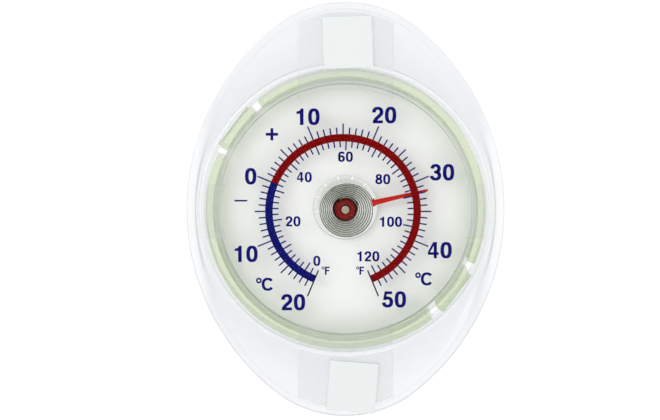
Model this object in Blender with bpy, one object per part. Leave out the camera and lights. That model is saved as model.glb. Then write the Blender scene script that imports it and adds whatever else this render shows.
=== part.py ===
"""Stick-on dial window thermometer: a clear oval holder with two adhesive pads carries a round case,
which holds a bimetal coil, its pointer, a white dial plate and a clear lens.

The dial faces -Y, +Z is the top of the dial and every turning piece turns about the Y axis.
Y is zero on the outer faces of the pads, where the window glass will be.
"""

import math

import bmesh
import bpy
from mathutils import Matrix, Vector

MM = 0.001

# Oval holder
HALF_WIDTH = 38.0 * MM
HALF_HEIGHT = 50.0 * MM
SIDE_RADIUS = 56.4 * MM
LIP_WIDTH = 1.8 * MM
LIP_FRONT = 1.3 * MM
LIP_STEP = 0.5 * MM
SHELL_DISH = 1.0 * MM
SHELL_WALL = 1.5 * MM
OVAL_STEPS = 96

# Collar that the case snaps into
COLLAR_BORE = 33.9 * MM
COLLAR_OUTSIDE = 35.3 * MM
COLLAR_FRONT = 2.0 * MM
COLLAR_BACK = 10.0 * MM
GROOVE_RADIUS = 34.6 * MM
GROOVE_FRONT = 3.3 * MM
GROOVE_BACK = 5.3 * MM

# Front tabs that stop the case, and the flat lands that carry the pads
TAB_REACH = 29.5 * MM
TAB_FRONT = 1.15 * MM
TAB_WALL = 0.65 * MM
LAND_HALF_WIDTH = 11.35 * MM
SIDE_TAB_HALF_WIDTH = 6.5 * MM
LAND_ROOT = 3.1 * MM
LAND_INSET = 2.2 * MM

# Adhesive pads and their release liners
PAD_WIDTH = 11.6 * MM
PAD_HEIGHT = 12.2 * MM
FOAM_FRONT = 0.12 * MM
FOAM_WALL = 1.0 * MM
LINER_WALL = 0.1 * MM
UPPER_PAD = {"x": 0.5 * MM, "z": 40.6 * MM, "turn": math.radians(-2.0)}
LOWER_PAD = {"x": 1.7 * MM, "z": -42.5 * MM, "turn": math.radians(4.8)}

# Case cup
CUP_OUTSIDE = 33.5 * MM
CUP_INSIDE = 31.75 * MM
CUP_FRONT = 2.0 * MM
CUP_BACK = 15.0 * MM
CUP_FLOOR = 13.6 * MM
LEDGE_INSIDE = 30.0 * MM
LEDGE_FRONT = 9.15 * MM
BOSS_RADIUS = 2.4 * MM
BOSS_FRONT = 10.2 * MM
ROUND_STEPS = 96
SMALL_STEPS = 36

# Snap fingers: each lies between two slots that run from the cup's rim down to its floor
FINGER_AT = math.radians(143.0)
FINGER_HALF_ANGLE = math.radians(9.6)
SLOT_ANGLE = math.radians(4.9)
SLOT_BACK = 13.0 * MM
FINGER_FLAT = 33.3 * MM
BARB_RADIUS = 34.2 * MM
BARB_HALF_ANGLE = math.radians(5.0)
BARB_FRONT = 3.6 * MM
BARB_BACK = 4.9 * MM

# Vents in the cup's floor, behind the coil
VENT_COUNT = 8
VENT_INSIDE = 3.4 * MM
VENT_OUTSIDE = 7.4 * MM
VENT_WIDTH = 0.6 * MM

# Lens and dial plate
LENS_RADIUS = 31.65 * MM
LENS_FRONT = 2.1 * MM
LENS_WALL = 1.2 * MM
SKIRT_INSIDE = 30.4 * MM
SKIRT_BACK = 8.4 * MM
DIAL_RADIUS = 31.6 * MM
DIAL_FRONT = 8.45 * MM
DIAL_WALL = 0.65 * MM
DIAL_HOLE = 7.75 * MM

# Centre pin, washer and hub
PIN_RADIUS = 1.0 * MM
PIN_TIP = 4.2 * MM
PIN_HEAD_RADIUS = 1.8 * MM
PIN_HEAD_WALL = 0.6 * MM
PIN_RELIEF = 0.05 * MM
WASHER_RADIUS = 2.2 * MM
WASHER_WALL = 0.3 * MM
HUB_RADIUS = 2.45 * MM
HUB_FRONT = 4.7 * MM
HUB_BACK = 9.8 * MM
HUB_SLOT = 0.4 * MM

# Bimetal coil
COIL_FRONT = 5.3 * MM
COIL_BACK = 7.3 * MM
COIL_WALL = 0.16 * MM
COIL_TAIL = 1.5 * MM
COIL_INSIDE = 2.75 * MM
COIL_OUTSIDE = 6.6 * MM
COIL_TURNS = 8.6
COIL_STEPS_PER_TURN = 30
COIL_SHIFT = (0.45 * MM, -0.12 * MM)

# Pointer
POINTER_TIP = 20.4 * MM
POINTER_FRONT = 5.0 * MM
NEEDLE_WALL = 0.5 * MM
NEEDLE_ROOT_WIDTH = 1.1 * MM
NEEDLE_TIP_WIDTH = 0.25 * MM
ROOT_BACK = 7.0 * MM
ROOT_INSIDE = 6.66 * MM
ROOT_OUTSIDE = 7.36 * MM
ROOT_WIDTH = 1.7 * MM
ROOT_SLIT = 0.34 * MM

# Scale: 4.5 degrees of pointer travel per degree Celsius, with 0 C at 157.5 degrees from +X
DEGREES_PER_CELSIUS = 4.5
ZERO_CELSIUS_AT = 157.5
REST_CELSIUS = 32.05
REST_ANGLE = math.radians(ZERO_CELSIUS_AT - DEGREES_PER_CELSIUS * REST_CELSIUS)

PLASTIC_CLEAR = ("clear_plastic", (0.93, 0.95, 0.97), 0.08, 0.0)
PLASTIC_GREEN = ("green_tinted_plastic", (0.66, 0.74, 0.52), 0.15, 0.0)
PLASTIC_WHITE = ("white_dial_plastic", (0.80, 0.83, 0.79), 0.45, 0.0)
PLASTIC_RED = ("red_plastic", (0.62, 0.02, 0.01), 0.3, 0.0)
FOAM_WHITE = ("white_foam", (0.85, 0.88, 0.88), 0.9, 0.0)
LINER_WHITE = ("liner_paper", (0.87, 0.92, 0.93), 0.4, 0.0)
METAL_COIL = ("bimetal_strip", (0.30, 0.32, 0.27), 0.35, 1.0)
METAL_PIN = ("pin_metal", (0.45, 0.42, 0.33), 0.35, 1.0)


def clear_scene():
    for obj in list(bpy.data.objects):
        bpy.data.objects.remove(obj, do_unlink=True)


def material(kind):
    name, colour, roughness, metallic = kind
    found = bpy.data.materials.get(name)
    if found:
        return found
    made = bpy.data.materials.new(name)
    made.use_nodes = True
    shader = made.node_tree.nodes["Principled BSDF"]
    shader.inputs["Base Color"].default_value = (*colour, 1.0)
    shader.inputs["Roughness"].default_value = roughness
    shader.inputs["Metallic"].default_value = metallic
    made.diffuse_color = (*colour, 1.0)
    return made


def to_object(name, bm, kind=None):
    """Turns a bmesh into an object, with its faces pointing out and its round sides shaded smooth."""
    bmesh.ops.remove_doubles(bm, verts=bm.verts, dist=1e-6)
    bmesh.ops.recalc_face_normals(bm, faces=bm.faces)
    mesh = bpy.data.meshes.new(name)
    bm.to_mesh(mesh)
    bm.free()
    mesh.shade_smooth()
    mesh.set_sharp_from_angle(angle=math.radians(30))
    obj = bpy.data.objects.new(name, mesh)
    bpy.context.scene.collection.objects.link(obj)
    if kind:
        mesh.materials.append(material(kind))
    return obj


def polar(radius, angle):
    return radius * math.cos(angle), radius * math.sin(angle)


def turned(name, profile, steps, kind=None):
    """Spins a closed profile of (radius, y) points round the Y axis."""
    bm = bmesh.new()
    verts = [bm.verts.new((radius, y, 0.0)) for radius, y in profile]
    edges = [bm.edges.new(pair) for pair in zip(verts, verts[1:] + verts[:1])]
    bmesh.ops.spin(
        bm,
        geom=verts + edges,
        cent=(0, 0, 0),
        axis=(0, 1, 0),
        angle=2 * math.pi,
        steps=steps,
        use_merge=True,
    )
    bmesh.ops.remove_doubles(bm, verts=bm.verts, dist=1e-7)
    bmesh.ops.dissolve_degenerate(bm, dist=1e-8, edges=bm.edges)
    loose = [edge for edge in bm.edges if not edge.link_faces]
    bmesh.ops.delete(bm, geom=loose, context="EDGES")
    return to_object(name, bm, kind)


def prism(name, outline, front, back, kind=None):
    """Extrudes a flat outline of (x, z) points from y = front to y = back."""
    bm = bmesh.new()
    face = bm.faces.new([bm.verts.new((x, front, z)) for x, z in outline])
    grown = bmesh.ops.extrude_face_region(bm, geom=[face])
    moved = [item for item in grown["geom"] if isinstance(item, bmesh.types.BMVert)]
    bmesh.ops.translate(bm, vec=(0, back - front, 0), verts=moved)
    return to_object(name, bm, kind)


def rings_joined(name, rings, kind=None):
    """Joins a closed series of rings, all with the same number of points, into one solid."""
    bm = bmesh.new()
    rows = [[bm.verts.new(point) for point in ring] for ring in rings]
    for row, following in zip(rows, rows[1:] + rows[:1]):
        for i in range(len(row)):
            j = (i + 1) % len(row)
            bm.faces.new((row[i], row[j], following[j], following[i]))
    bmesh.ops.triangulate(bm, faces=bm.faces)
    return to_object(name, bm, kind)


def combine(target, tool, operation):
    """Applies a Boolean with a helper object, then removes the helper."""
    tool.hide_render = True
    tool.display_type = "WIRE"
    modifier = target.modifiers.new(operation.title(), "BOOLEAN")
    modifier.operation = operation
    modifier.solver = "EXACT"
    modifier.object = tool
    bpy.context.view_layer.update()
    graph = bpy.context.evaluated_depsgraph_get()
    result = bpy.data.meshes.new_from_object(target.evaluated_get(graph))
    target.modifiers.remove(modifier)
    kept = target.data
    target.data = result
    bpy.data.meshes.remove(kept)
    result.name = target.name
    bpy.data.objects.remove(tool, do_unlink=True)


def turn_about_y(obj, angle):
    """Turns a mesh counter-clockwise, as the dial is read, by this angle."""
    obj.data.transform(Matrix.Rotation(-angle, 4, "Y"))


def end_radius():
    """Radius of the oval's top and bottom arcs, which meet the side arcs with no corner."""
    side_centre = SIDE_RADIUS - HALF_WIDTH
    above = SIDE_RADIUS**2 - side_centre**2 - HALF_HEIGHT**2
    return above / (2 * (SIDE_RADIUS - HALF_HEIGHT))


def oval_point(angle, inset=0.0):
    """Point of the four-arc oval, moved inwards by inset, in this direction from the centre."""
    tip = end_radius()
    side_centre = SIDE_RADIUS - HALF_WIDTH
    end_centre = HALF_HEIGHT - tip
    across, up = abs(math.cos(angle)), abs(math.sin(angle))
    meeting = math.atan2(end_centre, side_centre)
    joint_x, joint_z = tip * math.cos(meeting), end_centre + tip * math.sin(meeting)
    if up * joint_x > across * joint_z:
        centre_x, centre_z, radius = 0.0, end_centre, tip - inset
    else:
        centre_x, centre_z, radius = -side_centre, 0.0, SIDE_RADIUS - inset
    along = across * centre_x + up * centre_z
    reach = along + math.sqrt(along**2 - centre_x**2 - centre_z**2 + radius**2)
    return math.copysign(reach * across, math.cos(angle)), math.copysign(reach * up, math.sin(angle))


def oval_ring(inset, y):
    angles = [2 * math.pi * i / OVAL_STEPS for i in range(OVAL_STEPS)]
    return [(x, y, z) for x, z in (oval_point(angle, inset) for angle in angles)]


def round_ring(radius, y):
    angles = [2 * math.pi * i / OVAL_STEPS for i in range(OVAL_STEPS)]
    return [(x, y, z) for x, z in (polar(radius, angle) for angle in angles)]


def arc_between(radius, half_width, steps=12):
    """Points on a circle about the centre, from x = half_width to x = -half_width, above the centre."""
    start = math.asin(half_width / radius)
    return [
        (radius * math.sin(start - 2 * start * i / steps), radius * math.cos(start - 2 * start * i / steps))
        for i in range(steps + 1)
    ]


def land_outline():
    """Outline of the upper tab and land in one: from the tab's inner edge up to the oval's lip."""
    inner = arc_between(TAB_REACH, LAND_HALF_WIDTH)
    steps = 12
    reach_x = LAND_HALF_WIDTH
    first = math.atan2(math.sqrt(HALF_HEIGHT**2 - reach_x**2) - LAND_INSET, reach_x)
    outer = [
        oval_point(first + (math.pi - 2 * first) * i / steps, LAND_INSET)
        for i in range(steps + 1)
    ]
    outer[0] = (reach_x, outer[0][1])
    outer[-1] = (-reach_x, outer[-1][1])
    return outer + inner[::-1]


def side_tab_outline():
    inner = arc_between(TAB_REACH, SIDE_TAB_HALF_WIDTH)
    outer = arc_between(COLLAR_OUTSIDE + 0.1 * MM, SIDE_TAB_HALF_WIDTH)
    return outer + inner[::-1]


def oval_shell():
    """The dished oval flange and the round collar, as one closed cross-section carried round the oval."""
    shell_edge = LIP_FRONT + LIP_STEP
    shell_root = shell_edge + SHELL_DISH
    rings = [
        oval_ring(0.0, LIP_FRONT + 0.3 * MM),
        oval_ring(0.3 * MM, LIP_FRONT),
        oval_ring(LIP_WIDTH, LIP_FRONT),
        oval_ring(LIP_WIDTH + 0.2 * MM, shell_edge),
        round_ring(COLLAR_OUTSIDE, shell_root),
        round_ring(COLLAR_OUTSIDE, COLLAR_FRONT + 0.3 * MM),
        round_ring(COLLAR_OUTSIDE - 0.3 * MM, COLLAR_FRONT),
        round_ring(COLLAR_BORE, COLLAR_FRONT),
        round_ring(COLLAR_BORE, GROOVE_FRONT),
        round_ring(GROOVE_RADIUS, GROOVE_FRONT),
        round_ring(GROOVE_RADIUS, GROOVE_BACK),
        round_ring(COLLAR_BORE, GROOVE_BACK),
        round_ring(COLLAR_BORE, COLLAR_BACK),
        round_ring(COLLAR_OUTSIDE, COLLAR_BACK),
        round_ring(COLLAR_OUTSIDE, shell_root + SHELL_WALL),
        oval_ring(LIP_WIDTH, shell_edge + SHELL_WALL),
        oval_ring(0.0, shell_edge + SHELL_WALL),
    ]
    return rings_joined("window_holder", rings, PLASTIC_CLEAR)


def tab_with_riser(name, outline, bore_clear):
    """A tab that reaches over the case, with a solid riser outside the collar's bore."""
    block = prism(name, outline, TAB_FRONT, LAND_ROOT)
    relief = turned(
        name + "_relief",
        [
            (0.0, TAB_FRONT + TAB_WALL),
            (bore_clear, TAB_FRONT + TAB_WALL),
            (bore_clear, LAND_ROOT + MM),
            (0.0, LAND_ROOT + MM),
        ],
        ROUND_STEPS,
    )
    combine(block, relief, "DIFFERENCE")
    return block


def make_window_holder():
    holder = oval_shell()
    bore_clear = COLLAR_BORE + 0.35 * MM
    for turn in (0.0, math.pi):
        land = tab_with_riser("land", land_outline(), bore_clear)
        turn_about_y(land, turn)
        combine(holder, land, "UNION")
    for turn in (math.pi / 2, -math.pi / 2):
        tab = tab_with_riser("side_tab", side_tab_outline(), bore_clear)
        turn_about_y(tab, turn)
        combine(holder, tab, "UNION")
    return holder


def rectangle(width, height):
    return [
        (-width / 2, -height / 2),
        (width / 2, -height / 2),
        (width / 2, height / 2),
        (-width / 2, height / 2),
    ]


def make_pad(prefix, place):
    """A foam pad with adhesive on both faces, and the liner that is peeled off before it is stuck on."""
    outline = rectangle(PAD_WIDTH, PAD_HEIGHT)
    foam = prism(prefix + "_foam_pad", outline, FOAM_FRONT, FOAM_FRONT + FOAM_WALL, FOAM_WHITE)
    liner = prism(prefix + "_release_liner", outline, 0.0, LINER_WALL, LINER_WHITE)
    for piece in (foam, liner):
        piece.location = (place["x"], 0.0, place["z"])
        piece.rotation_euler = (0.0, place["turn"], 0.0)


def slot_cutter(angle, half_angle, inner, outer, front, back):
    """A wedge-ended block that cuts one slot through a round wall, in this direction."""
    steps = 2
    angles = [angle - half_angle + 2 * half_angle * i / steps for i in range(steps + 1)]
    outline = [polar(outer, a) for a in angles] + [polar(inner, a) for a in reversed(angles)]
    return prism("slot", outline, front, back)


def cut_fingers(cup):
    """Frees two snap fingers from the wall, flattens them outside and adds a barb to each."""
    middle_of_slot = FINGER_HALF_ANGLE + SLOT_ANGLE / 2
    half_flat = FINGER_FLAT * math.tan(middle_of_slot)
    for side in (0.0, math.pi):
        at = FINGER_AT + side
        for way in (-1, 1):
            slot_at = at + way * middle_of_slot
            inner, outer = LEDGE_INSIDE - MM, CUP_OUTSIDE + MM
            slot = slot_cutter(slot_at, SLOT_ANGLE / 2, inner, outer, CUP_FRONT - MM, SLOT_BACK)
            combine(cup, slot, "DIFFERENCE")
        flat = prism("flat", rectangle(2 * MM, 2 * half_flat), CUP_FRONT - MM, SLOT_BACK)
        flat.data.transform(Matrix.Translation(Vector((FINGER_FLAT + MM, 0.0, 0.0))))
        turn_about_y(flat, at)
        combine(cup, flat, "DIFFERENCE")
        inner = CUP_INSIDE + 0.4 * MM
        barb = slot_cutter(at, BARB_HALF_ANGLE, inner, BARB_RADIUS, BARB_FRONT, BARB_BACK)
        combine(cup, barb, "UNION")


def cut_vents(piece, front, back):
    """Cuts a ring of radial slots through a floor."""
    for i in range(VENT_COUNT):
        vent = prism("vent", rectangle(VENT_WIDTH, VENT_OUTSIDE - VENT_INSIDE), front, back)
        vent.data.transform(Matrix.Translation(Vector((0.0, 0.0, (VENT_OUTSIDE + VENT_INSIDE) / 2))))
        turn_about_y(vent, 2 * math.pi * (i + 0.5) / VENT_COUNT)
        combine(piece, vent, "DIFFERENCE")


def make_case_cup():
    """The green-tinted cup: side wall, dial ledge, snap fingers, vented floor and the pin's boss."""
    cup = turned(
        "case_cup",
        [
            (CUP_INSIDE, CUP_FRONT),
            (CUP_OUTSIDE - 0.3 * MM, CUP_FRONT),
            (CUP_OUTSIDE, CUP_FRONT + 0.3 * MM),
            (CUP_OUTSIDE, CUP_BACK - 1.5 * MM),
            (CUP_OUTSIDE - 0.45 * MM, CUP_BACK - 0.45 * MM),
            (CUP_OUTSIDE - 1.5 * MM, CUP_BACK),
            (PIN_HEAD_RADIUS + PIN_RELIEF, CUP_BACK),
            (PIN_HEAD_RADIUS + PIN_RELIEF, CUP_BACK - PIN_HEAD_WALL - PIN_RELIEF),
            (PIN_RADIUS + PIN_RELIEF, CUP_BACK - PIN_HEAD_WALL - PIN_RELIEF),
            (PIN_RADIUS + PIN_RELIEF, BOSS_FRONT),
            (BOSS_RADIUS, BOSS_FRONT),
            (BOSS_RADIUS, CUP_FLOOR),
            (LEDGE_INSIDE, CUP_FLOOR),
            (LEDGE_INSIDE, LEDGE_FRONT),
            (CUP_INSIDE, LEDGE_FRONT),
        ],
        ROUND_STEPS,
        PLASTIC_GREEN,
    )
    cut_fingers(cup)
    cut_vents(cup, CUP_FLOOR - MM, CUP_BACK + MM)
    return cup


def make_front_lens():
    disc_back = LENS_FRONT + LENS_WALL
    return turned(
        "front_lens",
        [
            (0.0, LENS_FRONT),
            (LENS_RADIUS - 0.3 * MM, LENS_FRONT),
            (LENS_RADIUS, LENS_FRONT + 0.3 * MM),
            (LENS_RADIUS, SKIRT_BACK),
            (SKIRT_INSIDE, SKIRT_BACK),
            (SKIRT_INSIDE, disc_back),
            (0.0, disc_back),
        ],
        ROUND_STEPS,
        PLASTIC_CLEAR,
    )


def make_dial_plate():
    """The white ring behind the pointer; the coil is seen through its hole."""
    back = DIAL_FRONT + DIAL_WALL
    return turned(
        "dial_plate",
        [
            (DIAL_HOLE, DIAL_FRONT),
            (DIAL_RADIUS, DIAL_FRONT),
            (DIAL_RADIUS, back),
            (DIAL_HOLE, back),
        ],
        ROUND_STEPS,
        PLASTIC_WHITE,
    )


def make_centre_pin():
    head_front = CUP_BACK - PIN_HEAD_WALL
    return turned(
        "centre_pin",
        [
            (0.0, PIN_TIP),
            (PIN_RADIUS - 0.3 * MM, PIN_TIP),
            (PIN_RADIUS, PIN_TIP + 0.3 * MM),
            (PIN_RADIUS, head_front),
            (PIN_HEAD_RADIUS, head_front),
            (PIN_HEAD_RADIUS, CUP_BACK - 0.05 * MM),
            (0.0, CUP_BACK - 0.05 * MM),
        ],
        SMALL_STEPS,
        METAL_PIN,
    )


def make_hub_washer():
    back = BOSS_FRONT - PIN_RELIEF
    return turned(
        "hub_washer",
        [
            (PIN_RADIUS + PIN_RELIEF, back - WASHER_WALL),
            (WASHER_RADIUS, back - WASHER_WALL),
            (WASHER_RADIUS, back),
            (PIN_RADIUS + PIN_RELIEF, back),
        ],
        SMALL_STEPS,
        METAL_PIN,
    )


def make_coil_hub():
    """The red collar on the pin, slotted for the coil's inner end."""
    crown = 0.6 * MM
    hub = turned(
        "coil_hub",
        [
            (PIN_RADIUS + PIN_RELIEF, HUB_FRONT + 0.25 * MM),
            (PIN_RADIUS + 0.3 * MM, HUB_FRONT),
            (HUB_RADIUS - crown, HUB_FRONT),
            (HUB_RADIUS - crown * 0.3, HUB_FRONT + crown * 0.3),
            (HUB_RADIUS, HUB_FRONT + crown),
            (HUB_RADIUS, HUB_BACK),
            (PIN_RADIUS + PIN_RELIEF, HUB_BACK),
        ],
        SMALL_STEPS,
        PLASTIC_RED,
    )
    slot_length = HUB_RADIUS - COIL_TAIL + 0.8 * MM
    slot = prism("hub_slot", rectangle(slot_length, HUB_SLOT), COIL_FRONT - 0.3 * MM, HUB_BACK + MM)
    slot.data.transform(Matrix.Translation(Vector((COIL_TAIL - 0.2 * MM + slot_length / 2, 0.0, 0.0))))
    turn_about_y(slot, coil_start_angle())
    combine(hub, slot, "DIFFERENCE")
    return hub


def coil_start_angle():
    """Direction of the coil's inner end. The coil grows clockwise and ends at the pointer."""
    return REST_ANGLE + 2 * math.pi * COIL_TURNS


def coil_stations():
    """(middle of the strip, sideways direction) along the strip, from its tail in the hub to the pointer.

    The outer turns sit a little off the pin's axis, by COIL_SHIFT at the pointer.
    """
    start = coil_start_angle()
    outward = Vector(polar(1.0, start))
    sideways = Vector((-outward.y, outward.x))
    stations = [(outward * COIL_TAIL, sideways), (outward * (COIL_INSIDE - 0.25 * MM), sideways)]
    count = round(COIL_TURNS * COIL_STEPS_PER_TURN)
    for i in range(1, count + 1):
        share = i / count
        angle = start - 2 * math.pi * COIL_TURNS * share
        radius = COIL_INSIDE + (COIL_OUTSIDE - COIL_INSIDE) * share
        direction = Vector(polar(1.0, angle))
        stations.append((direction * radius + Vector(COIL_SHIFT) * share, direction))
    return stations


def make_bimetal_coil():
    bm = bmesh.new()
    rows = []
    for middle, sideways in coil_stations():
        offset = sideways * (COIL_WALL / 2)
        corners = (
            (middle + offset, COIL_FRONT),
            (middle + offset, COIL_BACK),
            (middle - offset, COIL_BACK),
            (middle - offset, COIL_FRONT),
        )
        rows.append([bm.verts.new((point.x, y, point.y)) for point, y in corners])
    for row, following in zip(rows, rows[1:]):
        for i in range(4):
            j = (i + 1) % 4
            bm.faces.new((row[i], row[j], following[j], following[i]))
    bm.faces.new(rows[0])
    bm.faces.new(rows[-1])
    return to_object("bimetal_coil", bm, METAL_COIL)


def slit_place():
    """How far out along the pointer the slit lies, so that it clears the curved end of the coil."""
    end = coil_stations()[-1][0]
    return end.dot(Vector(polar(1.0, REST_ANGLE))) - 0.035 * MM


def make_pointer():
    """The red needle. Its root block has a slit that grips the coil's outer end."""
    half_root, half_tip = NEEDLE_ROOT_WIDTH / 2, NEEDLE_TIP_WIDTH / 2
    needle = prism(
        "pointer",
        [
            (ROOT_INSIDE + 0.2 * MM, -half_root),
            (ROOT_OUTSIDE, -half_root),
            (POINTER_TIP - 0.1 * MM, -half_tip),
            (POINTER_TIP, 0.0),
            (POINTER_TIP - 0.1 * MM, half_tip),
            (ROOT_OUTSIDE, half_root),
            (ROOT_INSIDE + 0.2 * MM, half_root),
        ],
        POINTER_FRONT,
        POINTER_FRONT + NEEDLE_WALL,
        PLASTIC_RED,
    )
    root = prism("root", rectangle(ROOT_OUTSIDE - ROOT_INSIDE, ROOT_WIDTH), POINTER_FRONT, ROOT_BACK)
    root.data.transform(Matrix.Translation(Vector(((ROOT_INSIDE + ROOT_OUTSIDE) / 2, 0.0, 0.0))))
    combine(needle, root, "UNION")
    slit = prism("slit", rectangle(ROOT_SLIT, ROOT_WIDTH + MM), COIL_FRONT - 0.1 * MM, ROOT_BACK + MM)
    slit.data.transform(Matrix.Translation(Vector((slit_place(), 0.0, 0.0))))
    combine(needle, slit, "DIFFERENCE")
    turn_about_y(needle, REST_ANGLE)
    return needle


def main():
    clear_scene()
    make_window_holder()
    make_pad("upper", UPPER_PAD)
    make_pad("lower", LOWER_PAD)
    make_case_cup()
    make_front_lens()
    make_dial_plate()
    make_centre_pin()
    make_hub_washer()
    make_coil_hub()
    make_bimetal_coil()
    make_pointer()


main()
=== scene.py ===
import math

import bmesh
import bpy
import numpy as np
from mathutils import Matrix, Vector, noise


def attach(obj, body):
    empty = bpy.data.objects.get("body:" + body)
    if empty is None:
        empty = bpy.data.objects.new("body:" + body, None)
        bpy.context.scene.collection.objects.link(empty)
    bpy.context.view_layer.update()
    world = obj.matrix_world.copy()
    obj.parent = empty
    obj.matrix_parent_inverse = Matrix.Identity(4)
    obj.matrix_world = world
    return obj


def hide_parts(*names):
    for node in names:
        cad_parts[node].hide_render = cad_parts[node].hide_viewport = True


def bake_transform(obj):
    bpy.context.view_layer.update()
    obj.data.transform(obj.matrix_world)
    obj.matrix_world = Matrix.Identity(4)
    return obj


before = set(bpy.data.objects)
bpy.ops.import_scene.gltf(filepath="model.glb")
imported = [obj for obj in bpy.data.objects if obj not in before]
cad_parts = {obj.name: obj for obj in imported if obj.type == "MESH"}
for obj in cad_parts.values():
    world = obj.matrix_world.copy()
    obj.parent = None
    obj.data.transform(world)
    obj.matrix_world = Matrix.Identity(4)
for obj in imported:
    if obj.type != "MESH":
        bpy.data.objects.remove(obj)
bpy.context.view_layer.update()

mm = 0.001
scene = bpy.context.scene
scene.view_settings.view_transform = "Standard"
scene.view_settings.look = "None"
scene.cycles.transparent_max_bounces = 32


# small helpers for shader trees

def addNode(tree, kind, values=None, **settings):
    made = tree.nodes.new(kind)
    for key, value in settings.items():
        setattr(made, key, value)
    for key, value in (values or {}).items():
        socket = made.inputs[key]
        if isinstance(value, bpy.types.NodeSocket):
            tree.links.new(value, socket)
        else:
            socket.default_value = value
    return made


def maths(tree, operation, *values):
    made = addNode(tree, "ShaderNodeMath", operation=operation)
    for socket, value in zip(made.inputs, values):
        if isinstance(value, bpy.types.NodeSocket):
            tree.links.new(value, socket)
        else:
            socket.default_value = value
    return made.outputs[0]


def freshMaterial(name):
    made = bpy.data.materials.new(name)
    made.use_nodes = True
    made.node_tree.nodes.clear()
    return made, made.node_tree


def finishMaterial(made, shader, preview):
    tree = made.node_tree
    out = tree.nodes.new("ShaderNodeOutputMaterial")
    tree.links.new(shader, out.inputs["Surface"])
    made.diffuse_color = (*preview, 1.0)
    return made


def finishPrincipled(made, values, preview):
    shader = addNode(made.node_tree, "ShaderNodeBsdfPrincipled", values).outputs[0]
    return finishMaterial(made, shader, preview)


def mixShaders(tree, share, first, second):
    return addNode(tree, "ShaderNodeMixShader", {0: share, 1: first, 2: second}).outputs[0]


def objectPlace(tree, stretch=(1, 1, 1)):
    place = addNode(tree, "ShaderNodeTexCoord").outputs["Object"]
    if tuple(stretch) == (1, 1, 1):
        return place
    return addNode(tree, "ShaderNodeMapping", {"Vector": place, "Scale": stretch}).outputs[0]


def speckle(tree, size, detail=3.0, stretch=(1, 1, 1), distortion=0.0):
    place = objectPlace(tree, stretch)
    values = {"Vector": place, "Scale": 1 / size, "Detail": detail, "Distortion": distortion}
    return addNode(tree, "ShaderNodeTexNoise", values).outputs["Fac"]


def spread(tree, value, low, high, fromLow=0.3, fromHigh=0.7):
    values = {"Value": value, "From Min": fromLow, "From Max": fromHigh, "To Min": low, "To Max": high}
    return addNode(tree, "ShaderNodeMapRange", values).outputs["Result"]


def blendColour(tree, share, first, second):
    made = addNode(tree, "ShaderNodeMix", data_type="RGBA")
    sockets = (made.inputs["Factor"], made.inputs[6], made.inputs[7])
    for socket, value in zip(sockets, (share, first, second)):
        if isinstance(value, bpy.types.NodeSocket):
            tree.links.new(value, socket)
        elif isinstance(value, tuple):
            socket.default_value = (*value, 1.0)
        else:
            socket.default_value = value
    return made.outputs[2]


def bumpFrom(tree, height, depth):
    values = {"Height": height, "Distance": depth, "Strength": 1.0}
    return addNode(tree, "ShaderNodeBump", values).outputs["Normal"]


# distance from the dial's axis, in metres
def axisDistance(tree):
    parts = addNode(tree, "ShaderNodeSeparateXYZ", {"Vector": objectPlace(tree)})
    across, up = parts.outputs["X"], parts.outputs["Z"]
    squares = maths(tree, "ADD", maths(tree, "MULTIPLY", across, across), maths(tree, "MULTIPLY", up, up))
    return maths(tree, "SQRT", squares)


# a colour that changes with the distance from the axis; stops are (millimetres, colour)
def radialColour(tree, stops):
    first, last = stops[0][0], stops[-1][0]
    share = spread(tree, axisDistance(tree), 0.0, 1.0, first * mm, last * mm)
    ramp = addNode(tree, "ShaderNodeValToRGB", {"Fac": share})
    points = ramp.color_ramp.elements
    while len(points) < len(stops):
        points.new(0.5)
    for point, (distance, colour) in zip(points, stops):
        point.position = (distance - first) / (last - first)
    for point, (distance, colour) in zip(points, stops):
        point.color = (*colour, 1.0)
    return ramp.outputs["Color"]


# 1 on the front faces of the two flat lands, 0 elsewhere
def onLand(tree, limits):
    front, half, inside = limits
    parts = addNode(tree, "ShaderNodeSeparateXYZ", {"Vector": objectPlace(tree)}).outputs
    near = maths(tree, "LESS_THAN", parts["Y"], front)
    between = maths(tree, "LESS_THAN", maths(tree, "ABSOLUTE", parts["X"]), half)
    outside = maths(tree, "GREATER_THAN", axisDistance(tree), inside)
    return maths(tree, "MULTIPLY", maths(tree, "MULTIPLY", near, between), outside)


# 0 on faces that look along the dial's axis, 1 on the side walls
def sideWall(tree):
    normal = addNode(tree, "ShaderNodeNewGeometry").outputs["Normal"]
    parts = addNode(tree, "ShaderNodeSeparateXYZ", {"Vector": normal})
    return maths(tree, "SUBTRACT", 1.0, maths(tree, "ABSOLUTE", parts.outputs["Y"]))


# 1 on outer rims, whose faces look straight away from the axis
def outerRim(tree):
    place = addNode(tree, "ShaderNodeVectorMath", {0: objectPlace(tree)}, operation="NORMALIZE").outputs[0]
    normal = addNode(tree, "ShaderNodeNewGeometry").outputs["Normal"]
    values = {0: normal, 1: place}
    outward = addNode(tree, "ShaderNodeVectorMath", values, operation="DOT_PRODUCT").outputs["Value"]
    return spread(tree, outward, 0.0, 1.0, 0.25, 0.6)


# how much a clear surface mirrors: little when faced, much when grazed
def polish(tree, normal, least=0.04, most=0.9):
    facing = addNode(tree, "ShaderNodeLayerWeight", {"Blend": 0.5, "Normal": normal}).outputs["Facing"]
    return maths(tree, "MULTIPLY_ADD", maths(tree, "POWER", facing, 5.0), most - least, least)


# materials

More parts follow.
